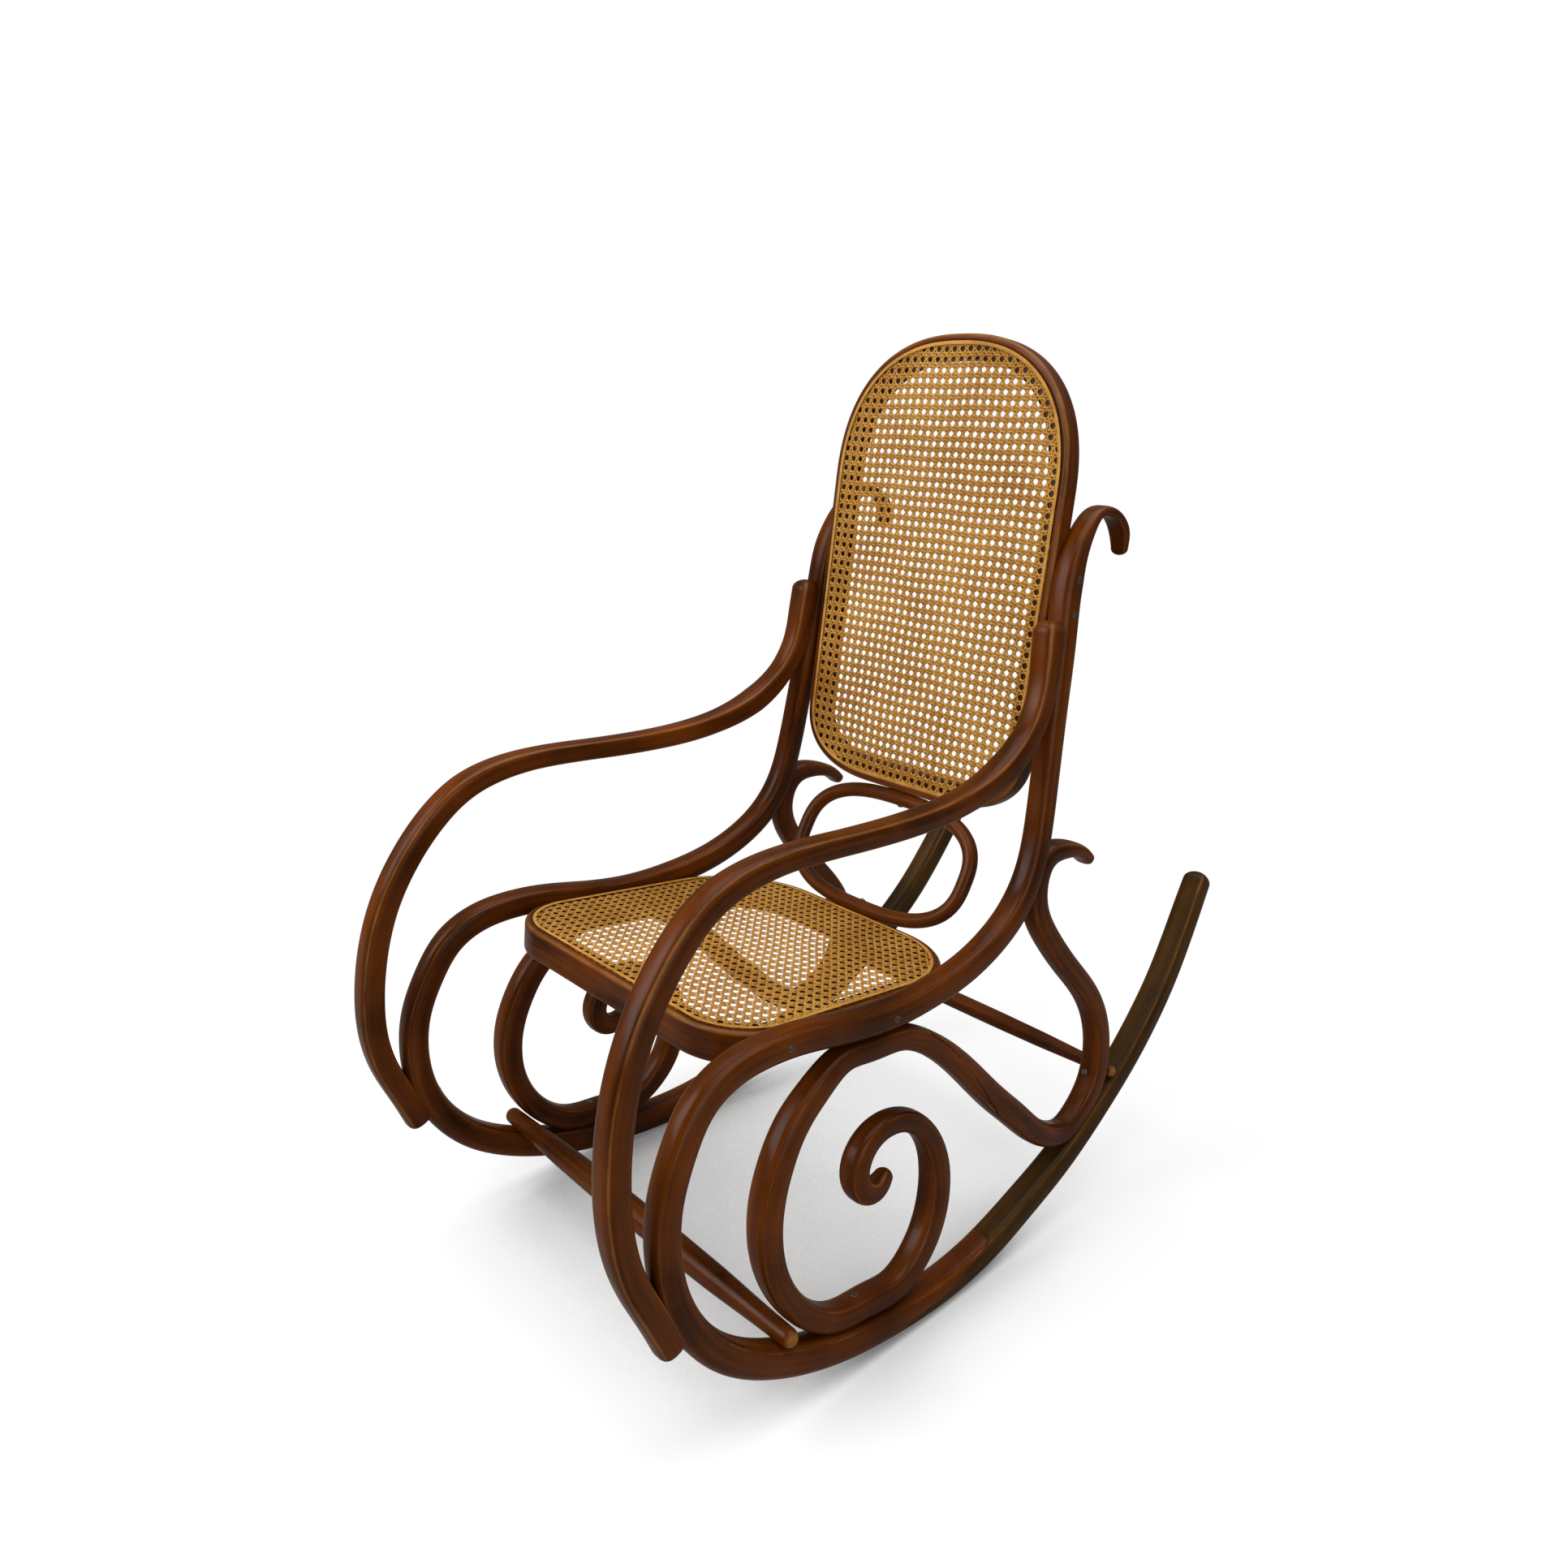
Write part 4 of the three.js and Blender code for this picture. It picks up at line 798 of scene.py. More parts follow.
def write_rods(chair, name, line, options, material):
    """A rod on both sides of the chair, with its wear, and its grime and painted shade by the joints, as
    attributes.
    """
    grid, lengths, radius, arris = rod_grid(line, options)
    grid[..., 2] = np.maximum(grid[..., 2], 0.0)
    around = way_round(ROD_SIDES, radius.mean())
    ends = np.minimum(lengths - options["start"], options["end"] - lengths)
    wear = arris * options.get("arris_wear", ARRIS_WEAR) * (1.0 - np.exp(-ends / ARRIS_FADE))[:, None]
    wear = wear + END_WEAR * np.exp(-ends / END_WEAR_REACH)[:, None]
    # Darker by the joints where the parts meet: partly grime, partly painted shade
    grime_and_shade = np.zeros(grid.shape[:2])
    for y, z, reach in options.get("grime_and_shade", ()):
        distance = np.hypot(grid[..., 1] - y, grid[..., 2] - z)
        grime_and_shade = np.maximum(grime_and_shade, np.exp(-((distance / reach) ** 2)))
    for side_name, hand in SIDES:
        mirrored = grid * np.array([hand, 1.0, 1.0]) + shifted_back(chair.sizes)
        along = lengths + (GRAIN_SHIFT if hand < 0 else 0.0)
        attributes = {"wear": wear, "grime_and_shade": grime_and_shade}
        piece = write_tube(f"{name}_{side_name}_rod", mirrored, along, around, attributes, material)
        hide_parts(f"{name}_{side_name}")


def rounded_outline(corners, squareness=2.0):
    """A closed outline of four quarter superellipses (x, y, radius x, radius y) joined by
    straights, with its outward normals: the gradient of |x/rx|^n + |y/ry|^n. Points follow the
    straights too, so that the spacing stays even."""
    angles = np.linspace(0.0, math.pi / 2.0, OUTLINE_STEPS)
    steep = squareness - 1.0
    points = []
    normals = []
    for quarter, (x, y, radius_x, radius_y) in enumerate(corners):
        turn = angles + quarter * math.pi / 2.0
        across, up = ring_section(turn, squareness)
        points.append(np.stack([x + radius_x * across, y + radius_y * up], -1))
        slope_x = np.sign(across) * np.abs(across) ** steep / radius_x
        slope_y = np.sign(up) * np.abs(up) ** steep / radius_y
        normals.append(unit(np.stack([slope_x, slope_y], -1)))
    points = closed_up(np.concatenate(points))
    normals = closed_up(np.concatenate(normals))
    lengths = way_along(points)
    even = np.linspace(0.0, lengths[-1], 2 * (len(points) - 1), endpoint=False)
    outline = np.stack([np.interp(even, lengths, points[:, k]) for k in range(2)], -1)
    outward = np.stack([np.interp(even, lengths, normals[:, k]) for k in range(2)], -1)
    return outline, unit(outward)


def back_outline(sizes):
    """Outline of the back's rim in its own plane, from the middle of its lower edge."""
    foot_x = sizes.back_half_width - sizes.foot_corner_x
    top_x = sizes.back_half_width - sizes.back_corner_x
    top_y = sizes.back_height - sizes.back_corner_y
    top = (sizes.back_corner_x, sizes.back_corner_y)
    foot = (sizes.foot_corner_x, sizes.foot_corner_y)
    corners = (
        (top_x, top_y, *top),
        (-top_x, top_y, *top),
        (-foot_x, sizes.foot_corner_y, *foot),
        (foot_x, sizes.foot_corner_y, *foot),
    )
    return rounded_outline(corners, BACK_SQUARENESS)


def seat_outline(chair):
    """Outline of the seat's rim in its own plane, which passes between the two rails and narrows
    to the rear as they do."""
    sizes = chair.sizes
    touches = []
    for place in SEAT_TOUCH_SHARES:
        centre, radius, _, _, _ = chair.side.at(chair.side.nearest(*scaled(place, sizes.side_reach)))
        along = (centre[1] - SEAT_FRONT_SHARE[0] * sizes.side_reach) / math.cos(sizes.seat_slope)
        touches.append((centre[0] - radius * ROD_FACET - CLEARANCE, along))
    (front_x, front_y), (rear_x, rear_y) = touches
    front, rear = sizes.seat_front_corner, sizes.seat_rear_corner
    corners = (
        (front_x - rear, sizes.seat_depth - rear, rear, rear),
        (rear - front_x, sizes.seat_depth - rear, rear, rear),
        (front - front_x, front, front, front),
        (front_x - front, front, front, front),
    )
    outline, outward = rounded_outline(corners)
    taper = (1.0 - rear_x / front_x) / (rear_y - front_y)
    narrowed = 1.0 - taper * (outline[:, 1] - front_y)
    leaned = outward[:, 1] * narrowed + outward[:, 0] * outline[:, 0] * taper
    outline = outline * np.stack([narrowed, np.ones(len(narrowed))], -1)
    return outline, unit(np.stack([outward[:, 0], leaned], -1))


def panel_frame(sizes, panel):
    """Origin and the three axes of the back's or the seat's own plane: across, up it, out of it."""
    across = np.array([1.0, 0.0, 0.0])
    if panel == "back":
        lean = sizes.back_lean
        up = np.array([0.0, math.sin(lean), math.cos(lean)])
        out = np.array([0.0, -math.cos(lean), math.sin(lean)])
        origin = np.array([0.0, *BACK_FOOT_SHARE]) * sizes.side_reach
    else:
        slope = sizes.seat_slope
        up = np.array([0.0, math.cos(slope), -math.sin(slope)])
        out = np.array([0.0, math.sin(slope), math.cos(slope)])
        origin = np.array([0.0, *SEAT_FRONT_SHARE]) * sizes.side_reach
    return origin + shifted_back(sizes), np.stack([across, up, out])


def to_panel(points, panel):
    """Points in a panel's own plane, carried to the chair."""
    origin, axes = panel
    return origin + points @ axes


def rim_profile(sizes, depth):
    """Profile (inset, height) of a rim: rounded outside, a shallow rebate inside for the cane.
    The straights between the rounded corners are cut into short steps."""
    edge = sizes.rim_edge
    rebate = REBATE_DEPTH + CLEARANCE
    soft = edge / 2.0
    turn = np.linspace(0.0, math.pi / 2.0, RIM_TURN_STEPS)
    corners = (
        (edge, -edge, edge, math.pi / 2.0),
        (edge, -depth + edge, edge, math.pi),
        (sizes.rim_width - soft, -depth + soft, soft, 1.5 * math.pi),
        (sizes.rim_width - soft, -rebate - soft, soft, 0.0),
    )
    parts = []
    for x, y, radius, first in corners:
        parts.append(np.stack([x + radius * np.cos(first + turn), y + radius * np.sin(first + turn)], -1))
    face = sizes.rim_face
    step = (
        (face + REBATE_BEVEL, -rebate),
        (face, -rebate + REBATE_BEVEL),
        (face, -FACE_BEVEL),
        (face - FACE_BEVEL, 0.0),
    )
    closed = closed_up(np.concatenate([*parts, step]))
    lengths = way_along(closed)
    long_ones = np.flatnonzero(np.diff(lengths) > RIM_STEP)
    extra = [np.linspace(lengths[k], lengths[k + 1], 5)[1:-1] for k in long_ones]
    places = np.sort(np.concatenate([lengths[:-1], *extra]))
    return np.stack([np.interp(places, lengths, closed[:, k]) for k in range(2)], -1)


def write_band(name, outline, outward, profile, panel, attributes, material, node):
    """A closed band: the profile (inset, height) carried round an outline, inset along its normal."""
    flat = outline[:, None] - outward[:, None] * profile[None, :, :1]
    height = np.broadcast_to(profile[None, :, 1:], flat.shape[:2] + (1,))
    grid = to_panel(np.concatenate([flat, height], -1), panel)
    along = way_along(closed_up(outline))
    around = way_along(closed_up(profile))
    piece = write_tube(name, grid, along, around, attributes, material, close_rows=True)
    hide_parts(node)


def rim_wear(sizes, profile):
    """Wear of a rim: strongest on the rounded edge between its face and its outside."""
    distance = np.hypot(profile[:, 0], profile[:, 1])
    return np.exp(-((distance / (RIM_WEAR_REACH_SHARE * sizes.rim_edge)) ** 2))[None, :]


def clip_lines(origins, direction, outline, outward):
    """The first and last place along each straight line inside a convex outline: the largest and
    the smallest crossing with the outline's edges that face back and forth."""
    facing = outward @ direction
    offset = np.einsum("ij,ij->i", outward, outline)
    reach = offset[None, :] - origins @ outward.T
    with np.errstate(divide="ignore", invalid="ignore"):
        crossing = reach / facing[None, :]
    last = np.min(np.where(facing > TINY, crossing, np.inf), axis=1)
    first = np.max(np.where(facing < -TINY, crossing, -np.inf), axis=1)
    return first, last


def weave_height(place, pitch, gap):
    """Height (from -1 to 1) of a strand at a place between two pairs: a steep half sine between
    the two strands of a pair, and a slow one back over the hole."""
    centred = place - np.round(place / pitch) * pitch
    steep = -np.sin(np.pi * np.clip(centred / gap, -0.5, 0.5))
    beyond = (np.abs(centred) - gap / 2.0) / (pitch - gap)
    slow = -np.sign(centred) * np.cos(np.pi * np.clip(beyond, 0.0, 1.0))
    return np.where(np.abs(centred) < gap / 2.0, steep, slow)


def loosen(flat, pitch):
    """Small slow shifts of a hand-made weave, the same for all strands at a place: sums of sines
    whose rates don't fit each other, so that no pattern shows."""
    x, y = flat[..., 0] / pitch, flat[..., 1] / pitch
    shift_x = np.sin(0.9 * y + 0.6 * np.sin(0.35 * x)) + 0.7 * np.sin(0.31 * y + 1.7)
    shift_y = np.sin(0.8 * x + 1.1 * np.sin(0.27 * y)) + 0.8 * np.sin(0.23 * x + 0.41 * y)
    return flat + CANE_SLACK_SHARE * pitch * np.stack([shift_x, shift_y], -1)


def strand_family(origins, direction, offsets, clip, step, spec, height_of):
    """Strands of one direction: flat lozenge sections at even steps along straight lines that are
    clipped to the outline, each at its own height. Returns points, faces and UV pairs."""
    first, last = clip
    keep = last - first > 2.0 * step
    origins, first, last, offsets = origins[keep], first[keep], last[keep], offsets[keep]
    places = np.arange(math.floor(first.min() / step), math.ceil(last.max() / step) + 1) * step
    held = np.clip(places[None, :], first[:, None], last[:, None])
    flat = origins[:, None] + direction * held[..., None]
    height = height_of(flat, offsets[:, None])
    flat = loosen(flat, spec["pitch"])
    across = np.array([direction[1], -direction[0]])
    width, gauge = spec["strand"] / 2.0, spec["gauge"] / 2.0
    middle = np.concatenate([flat, (height + spec["level"])[..., None]], -1)
    sideways = np.append(across, 0.0)
    glow_with_painted_shadow = np.array([0.0, 0.0, 1.0])
    ring = np.stack([sideways * width, glow_with_painted_shadow * gauge, -sideways * width, -glow_with_painted_shadow * gauge])
    points = middle[:, :, None] + ring
    strands, stations = held.shape
    index = np.arange(strands * stations * 4).reshape(strands, stations, 4)
    real = np.diff(held, axis=1) > SHORTEST_STEP
    here, there = index[:, :-1][real], index[:, 1:][real]
    faces = np.stack([here, there, np.roll(there, -1, 1), np.roll(here, -1, 1)], -1).reshape(-1, 4)
    tone = np.broadcast_to((np.arange(strands) * TONE_STEP % 1.0)[:, None], held.shape)
    u_here, u_there, v = held[:, :-1][real], held[:, 1:][real], tone[:, :-1][real]
    u = np.stack([u_here, u_there, u_there, u_here], -1)
    uvs = np.stack([u, np.broadcast_to(v[:, None], u.shape)], -1)
    uvs = np.repeat(uvs, 4, axis=0)
    starts, ends = index[:, 0], index[:, -1]
    caps = np.concatenate([starts, ends[:, ::-1]])
    cap_uvs = np.zeros((len(caps), 4, 2))
    return points.reshape(-1, 3), np.concatenate([faces, caps]), np.concatenate([uvs, cap_uvs])


def drop_unused_points(points, faces):
    """The points that faces use, and the faces with those points' new numbers."""
    used, fresh = np.unique(faces, return_inverse=True)
    return points[used], fresh.reshape(faces.shape)


def write_weave(chair, panel_name, outline, outward, material, node):
    """The cane of one panel: pairs of strands both ways in plain weave, and two diagonals that
    run between them, in three pieces."""
    sizes = chair.sizes
    pitch = sizes.cane_pitch
    pair = CANE_PAIR_SHARE * sizes.cane_strand
    inset = sizes.rim_face + 0.5 * sizes.binder_width
    edge = outline - outward * inset
    middle = (edge.min(axis=0) + edge.max(axis=0)) / 2.0
    spec = {"pitch": pitch, "strand": sizes.cane_strand, "gauge": sizes.cane_gauge, "level": CANE_LEVEL}
    reach = int(np.ceil(np.max(edge.max(axis=0) - edge.min(axis=0)) / pitch))
    counts = np.arange(-reach, reach + 1)
    rise = CANE_RISE_SHARE * sizes.cane_gauge
    step = pitch / CANE_STEPS
    panel = panel_frame(sizes, panel_name)
    centred = edge - middle

    def straight(axis):
        direction = np.array([0.0, 1.0]) if axis == 0 else np.array([1.0, 0.0])
        hands = np.tile([-1.0, 1.0], len(counts))
        place = np.repeat(counts, 2) * pitch + hands * pair / 2.0
        origins = np.zeros((len(place), 2))
        origins[:, axis] = place
        clip = clip_lines(origins, direction, centred, outward)
        sign = hands if axis == 0 else -hands

        def height_of(flat, hand):
            return rise * hand * weave_height(flat[..., 1 - axis], pitch, pair)

        return strand_family(origins, direction, sign, clip, step, spec, height_of)

    def slanted(hand):
        direction = np.array([1.0, hand]) * math.sqrt(0.5)
        rows = np.arange(-len(counts), len(counts)) + 0.5
        origins = np.stack([np.zeros(len(rows)), rows * pitch], -1)
        clip = clip_lines(origins, direction, centred, outward)

        def height_of(flat, _):
            return DIAGONAL_RISE_SHARE * rise * hand * np.cos(2.0 * math.pi * flat[..., 0] / pitch)

        return strand_family(
            origins, direction, origins[:, 1], clip, step * math.sqrt(2.0), spec, height_of
        )

    families = {
        "uprights": [straight(0)],
        "crosses": [straight(1)],
        "diagonals": [slanted(1.0), slanted(-1.0)],
    }
    for name, parts in families.items():
        counted = np.cumsum([0] + [len(points) for points, _, _ in parts[:-1]])
        points = np.concatenate([points for points, _, _ in parts])
        faces = np.concatenate([part[1] + shift for part, shift in zip(parts, counted)])
        uvs = np.concatenate([part[2] for part in parts])
        points, faces = drop_unused_points(points, faces)
        points[:, :2] += middle
        piece = write_mesh(f"{panel_name}_cane_{name}", to_panel(points, panel), faces, uvs, {}, material)
        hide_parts(node)


def stretcher_grid(half_length, diameter, end_diameter):
    """Half profile of a turned bar: quarter-round tip, slim end, a long taper to a thick middle.
    The radius is interpolated smoothly between the shares and mirrored about the middle."""
    shares = np.array(STRETCHER_SHARES)
    tip = end_diameter / 2.0
    dome = tip * (1.0 - np.cos(np.linspace(STRETCHER_START_ANGLE, math.pi / 2.0, DOME_RINGS)))
    bar = np.linspace(tip * STRETCHER_DOME_SHARE, half_length, STRETCHER_STEPS)
    place = np.concatenate([dome, bar])
    swell = np.interp(place / half_length, shares[:, 0], shares[:, 1])
    window = np.hanning(STRETCHER_WINDOW)
    padded = np.pad(swell, STRETCHER_WINDOW // 2, mode="edge")
    swell = np.convolve(padded, window / window.sum(), mode="valid")
    radius = (end_diameter + (diameter - end_diameter) * swell) / 2.0
    radius = radius * np.sqrt(1.0 - (1.0 - np.clip(place / tip, 0.0, 1.0)) ** 2)
    x = half_length - place
    return np.concatenate([-x[:-1], x[::-1]]), np.concatenate([radius[:-1], radius[::-1]])


def write_stretcher(sizes, name, y, z, half_length, diameter, end_diameter, material):
    """A turned bar across the chair: the profile turned about X."""
    x, radius = stretcher_grid(half_length, diameter, end_diameter)
    angles = turn_angles(STRETCHER_SIDES)
    ring = np.stack([np.zeros(STRETCHER_SIDES), np.cos(angles), np.sin(angles)], -1)
    grid = radius[:, None, None] * ring
    grid[..., 0] = x[:, None]
    grid += np.array([0.0, y, z]) + shifted_back(sizes)
    around = way_round(STRETCHER_SIDES, diameter / 2.0)
    ends = np.exp(-(half_length - np.abs(x)) / TURNED_END_REACH)
    attributes = {"wear": TURNED_END_WEAR * ends[:, None], "grime_and_shade": 0.0}
    piece = write_tube(f"{name}_bar", grid, x + half_length, around, attributes, material)
    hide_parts(name)


def pocket_place(place, diameter, lines):
    """Where a bar across the chair lies against two lines: it is pushed off both in turn."""
    y, z = place
    for _ in range(POCKET_ROUNDS):
        for line in lines:
            centre, radius, _, _, _ = line.at(line.nearest(y, z))
            away = np.array([y - centre[1], z - centre[2]])
            away *= (radius + diameter / 2.0 + CLEARANCE) / np.linalg.norm(away)
            y, z = centre[1] + away[0], centre[2] + away[1]
    return y, z


def ring_line(chair):
    """The ring's centre line: a superellipse between the seat's rear rim and the back's foot."""
    sizes = chair.sizes
    reach = sizes.ring_rod / 2.0 / RING_FACET_SHARE + CLEARANCE
    seat_panel = panel_frame(sizes, "seat")
    back_panel = panel_frame(sizes, "back")
    aside = reach * math.sqrt(0.5) - sizes.rim_edge / 2.0
    foot = to_panel(np.array([0.0, sizes.seat_depth + aside, aside]), seat_panel)
    head = to_panel(np.array([0.0, -reach, -sizes.ring_head_setback]), back_panel)
    up = head - foot
    half_height = np.linalg.norm(up) / 2.0
    up = unit(up)
    across, rise = ring_section(turn_angles(RING_STEPS), RING_SQUARENESS)
    centre = (foot + head) / 2.0
    line = centre + np.outer(across * sizes.ring_half_width, [1.0, 0.0, 0.0])
    return line + np.outer(rise * half_height, up), np.cross([1.0, 0.0, 0.0], up)


def write_ring(chair, material):
    """The ring: a round section carried along its centre line, on the line's own normals."""
    line, facing = ring_line(chair)
    tangent = unit(np.roll(line, -1, 0) - np.roll(line, 1, 0))
    outward = np.cross(tangent, facing)
    angles = turn_angles(RING_SIDES)[None, :, None]
    radius = chair.sizes.ring_rod / 2.0
    grid = line[:, None] + radius * (np.cos(angles) * outward[:, None] + np.sin(angles) * facing)
    along = way_along(closed_up(line))
    around = way_round(RING_SIDES, radius)
    attributes = {"wear": RING_WEAR, "grime_and_shade": 0.0}
    piece = write_tube("back_ring_rod", grid, along, around, attributes, material, close_rows=True)
    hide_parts("back_ring")


def screw_grid(head, rise):
    """A domed head with a straight slot: height falls off as the square of the distance from the
    axis, and drops to a flat floor inside the slot."""
    rings = np.array(SCREW_RING_SHARES)[:, None]
    angles = turn_angles(SCREW_SIDES)
    x = rings * np.cos(angles) * head / 2.0
    y = rings * np.sin(angles) * head / 2.0
    height = rise * (1.0 - SCREW_FALL_SHARE * rings**2) * np.ones(SCREW_SIDES)
    slot = np.abs(y) < SLOT_HALF_WIDTH_SHARE * head
    height = np.where(slot & (rings < 1.0), SLOT_FLOOR_SHARE * rise, height)
    height[-1] = -rise
    return np.stack([x, y, height], -1)


def write_screw(name, start, out, sizes, material):
    """A screw's head on the wood, turned so that its own axis points out of it."""
    grid = screw_grid(sizes.screw_head, sizes.screw_rise)
    first = unit(np.cross(SLOT_GUIDE, out))
    axes = np.stack([first, np.cross(out, first), out])
    placed = start + grid @ axes
    along = np.linspace(0.0, sizes.screw_head, len(grid) + 1)
    around = np.linspace(0.0, sizes.screw_head, grid.shape[1] + 1)
    piece = write_tube(f"{name}_head", placed, along, around, {}, material)
    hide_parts(name)


def write_screw_pair(chair, name, line, place, hand, material):
    """A screw's head on both sides of the chair: it lies on the rod's skin, on the far side from
    the rod that it holds, or outside the chair where hand is nought."""
    sizes = chair.sizes
    centre, radius, _, side, inward = line.at(line.nearest(*scaled(place, sizes.side_reach)))
    out = -hand * inward if hand else side
    start = centre + out * (radius * ROD_FIT - SCREW_SINK)
    for side_name, mirror in SIDES:
        flip = np.array([mirror, 1.0, 1.0])
        write_screw(f"{name}_{side_name}", start * flip + shifted_back(sizes), out * flip, sizes, material)


def new_group(name, inputs, outputs):
    """An empty shader node group with named sockets."""
    group = bpy.data.node_groups.new(name, "ShaderNodeTree")
    for socket, kind, value in inputs:
        made = group.interface.new_socket(name=socket, in_out="INPUT", socket_type=kind)
        if value is not None:
            made.default_value = value
    for socket, kind in outputs:
        group.interface.new_socket(name=socket, in_out="OUTPUT", socket_type=kind)
    entry = group.nodes.new("NodeGroupInput")
    leave = group.nodes.new("NodeGroupOutput")
    return group, entry, leave


def put(tree, kind, links=None, **values):
    """One node with its settings, its socket values and its incoming links."""
    node = tree.nodes.new(kind)
    for key, value in values.items():
        setattr(node, key, value)
    for socket, source in (links or {}).items():
        if isinstance(source, bpy.types.NodeSocket):
            tree.links.new(source, node.inputs[socket])
        else:
            node.inputs[socket].default_value = source
    return node


def noise(tree, vector, scale, detail):
    """The value of a noise texture."""
    sockets = {"Vector": vector, "Scale": scale, "Detail": detail}
    return put(tree, "ShaderNodeTexNoise", sockets).outputs["Fac"]


def stretched(tree, vector, scale):
    """A vector with each axis scaled."""
    return put(tree, "ShaderNodeMapping", {"Vector": vector, "Scale": scale}).outputs[0]


def combined(tree, operation, first, second):
    """Two values made one by a math operation."""
    return put(tree, "ShaderNodeMath", {0: first, 1: second}, operation=operation).outputs[0]


def spread(tree, value, low, high, to_low=0.0, to_high=1.0, interpolation="LINEAR"):
    """A value carried from one range to another, and held inside it."""
    sockets = {"Value": value, "From Min": low, "From Max": high, "To Min": to_low, "To Max": to_high}
    return put(tree, "ShaderNodeMapRange", sockets, interpolation_type=interpolation).outputs[0]


def blended(tree, share, first, second):
    """The second colour laid over the first by a share."""
    return put(tree, "ShaderNodeMix", {0: share, 6: first, 7: second}, data_type="RGBA").outputs[2]


def bumped(tree, height, strength, distance):
    """A normal that follows a height."""
    sockets = {"Height": height, "Strength": strength, "Distance": distance}
    return put(tree, "ShaderNodeBump", sockets).outputs[0]


def new_material(name):
    """An empty material and its node tree."""
    material = bpy.data.materials.new(name)
    material.use_nodes = True
    material.node_tree.nodes.clear()
    return material, material.node_tree


def close_material(tree, sockets):
    """A principled shader with these links and values, as the material's surface."""
    shader = put(tree, "ShaderNodeBsdfPrincipled", sockets)
    put(tree, "ShaderNodeOutputMaterial", {"Surface": shader.outputs[0]})


def stained_grain_group():
    """Streaks that run with the rod: noise on the UV map, drawn out along it, in two sizes."""
    group, entry, leave = new_group(
        "Stained grain",
        [("Vector", "NodeSocketVector", None), ("Position", "NodeSocketVector", None)],
        [("Tone", "NodeSocketFloat"), ("Height", "NodeSocketFloat")],
    )
    run = entry.outputs["Vector"]
    streak = noise(group, stretched(group, run, STREAK_SCALE), scale=1.0, detail=6.0)
    fibre = noise(group, stretched(group, run, FIBRE_SCALE), scale=1.0, detail=3.0)
    cloud = noise(group, entry.outputs["Position"], scale=9.0, detail=4.0)
    tone = spread(group, combined(group, "ADD", streak, cloud), *STREAK_RANGE)
    height = combined(group, "ADD", combined(group, "MULTIPLY", fibre, FIBRE_DEPTH), streak)
    group.links.new(tone, leave.inputs["Tone"])
    group.links.new(height, leave.inputs["Height"])


def worn_edge_group():
    """Broken rubbing along the edges: the wear value times a noise, sharpened to a mask."""
    group, entry, leave = new_group(
        "Worn edge",
        [
            ("Wear", "NodeSocketFloat", 0.0),
            ("Vector", "NodeSocketVector", None),
            ("Position", "NodeSocketVector", None),
            ("Amount", "NodeSocketFloat", 0.5),
        ],
        [("Mask", "NodeSocketFloat")],
    )
    scuff = noise(group, stretched(group, entry.outputs["Vector"], SCUFF_SCALE), scale=1.0, detail=5.0)
    patch = noise(group, entry.outputs["Position"], scale=14.0, detail=3.0)
    worn = combined(group, "MULTIPLY", combined(group, "ADD", scuff, patch), entry.outputs["Wear"])
    mask = spread(group, worn, *WORN_RANGE)
    shown = combined(group, "MULTIPLY", mask, entry.outputs["Amount"])
    group.links.new(shown, leave.inputs["Mask"])


def rgba(colour):
    """A colour property as four numbers."""
    return (*colour, 1.0)


def stained_wood(name, stain, deep, worn, finish):
    """Stained and polished wood: streaked stain, lighter rubbed edges, darker grime and painted shade by
    the joints, and painted shade under the cane.
    """
    roughness, polish = finish
    material, tree = new_material(name)
    run = put(tree, "ShaderNodeUVMap", uv_map="run").outputs["UV"]
    place = put(tree, "ShaderNodeTexCoord").outputs["Object"]
    wear = put(tree, "ShaderNodeAttribute", attribute_name="wear").outputs["Fac"]
    grime_and_shade = put(tree, "ShaderNodeAttribute", attribute_name="grime_and_shade").outputs["Fac"]
    groups = bpy.data.node_groups
    sockets = {"Vector": run, "Position": place}
    grain = put(tree, "ShaderNodeGroup", sockets, node_tree=groups["Stained grain"])
    edge = put(tree, "ShaderNodeGroup", {**sockets, "Wear": wear}, node_tree=groups["Worn edge"])
    mask = edge.outputs["Mask"]
    base = blended(tree, grain.outputs["Tone"], rgba(deep), rgba(stain))
    rubbed = blended(tree, mask, base, rgba(worn))
    # The deep stain laid over grime and painted shade by the joints, and over painted shade under the cane
    colour = blended(tree, combined(tree, "MULTIPLY", grime_and_shade, GRIME_AND_SHADE_STRENGTH), rubbed, rgba(deep))
    patches = noise(tree, place, scale=35.0, detail=5.0)
    gloss = spread(tree, patches, *NOISE_RANGE, roughness - ROUGHNESS_BELOW, roughness + ROUGHNESS_ABOVE)
    dull = combined(tree, "ADD", combined(tree, "MULTIPLY", mask, RUBBED_DULLNESS), gloss)
    normal = bumped(tree, grain.outputs["Height"], strength=0.16, distance=0.0006)
    close_material(
        tree, {"Base Color": colour, "Roughness": dull, "Normal": normal, "Specular IOR Level": polish}
    )
    return material


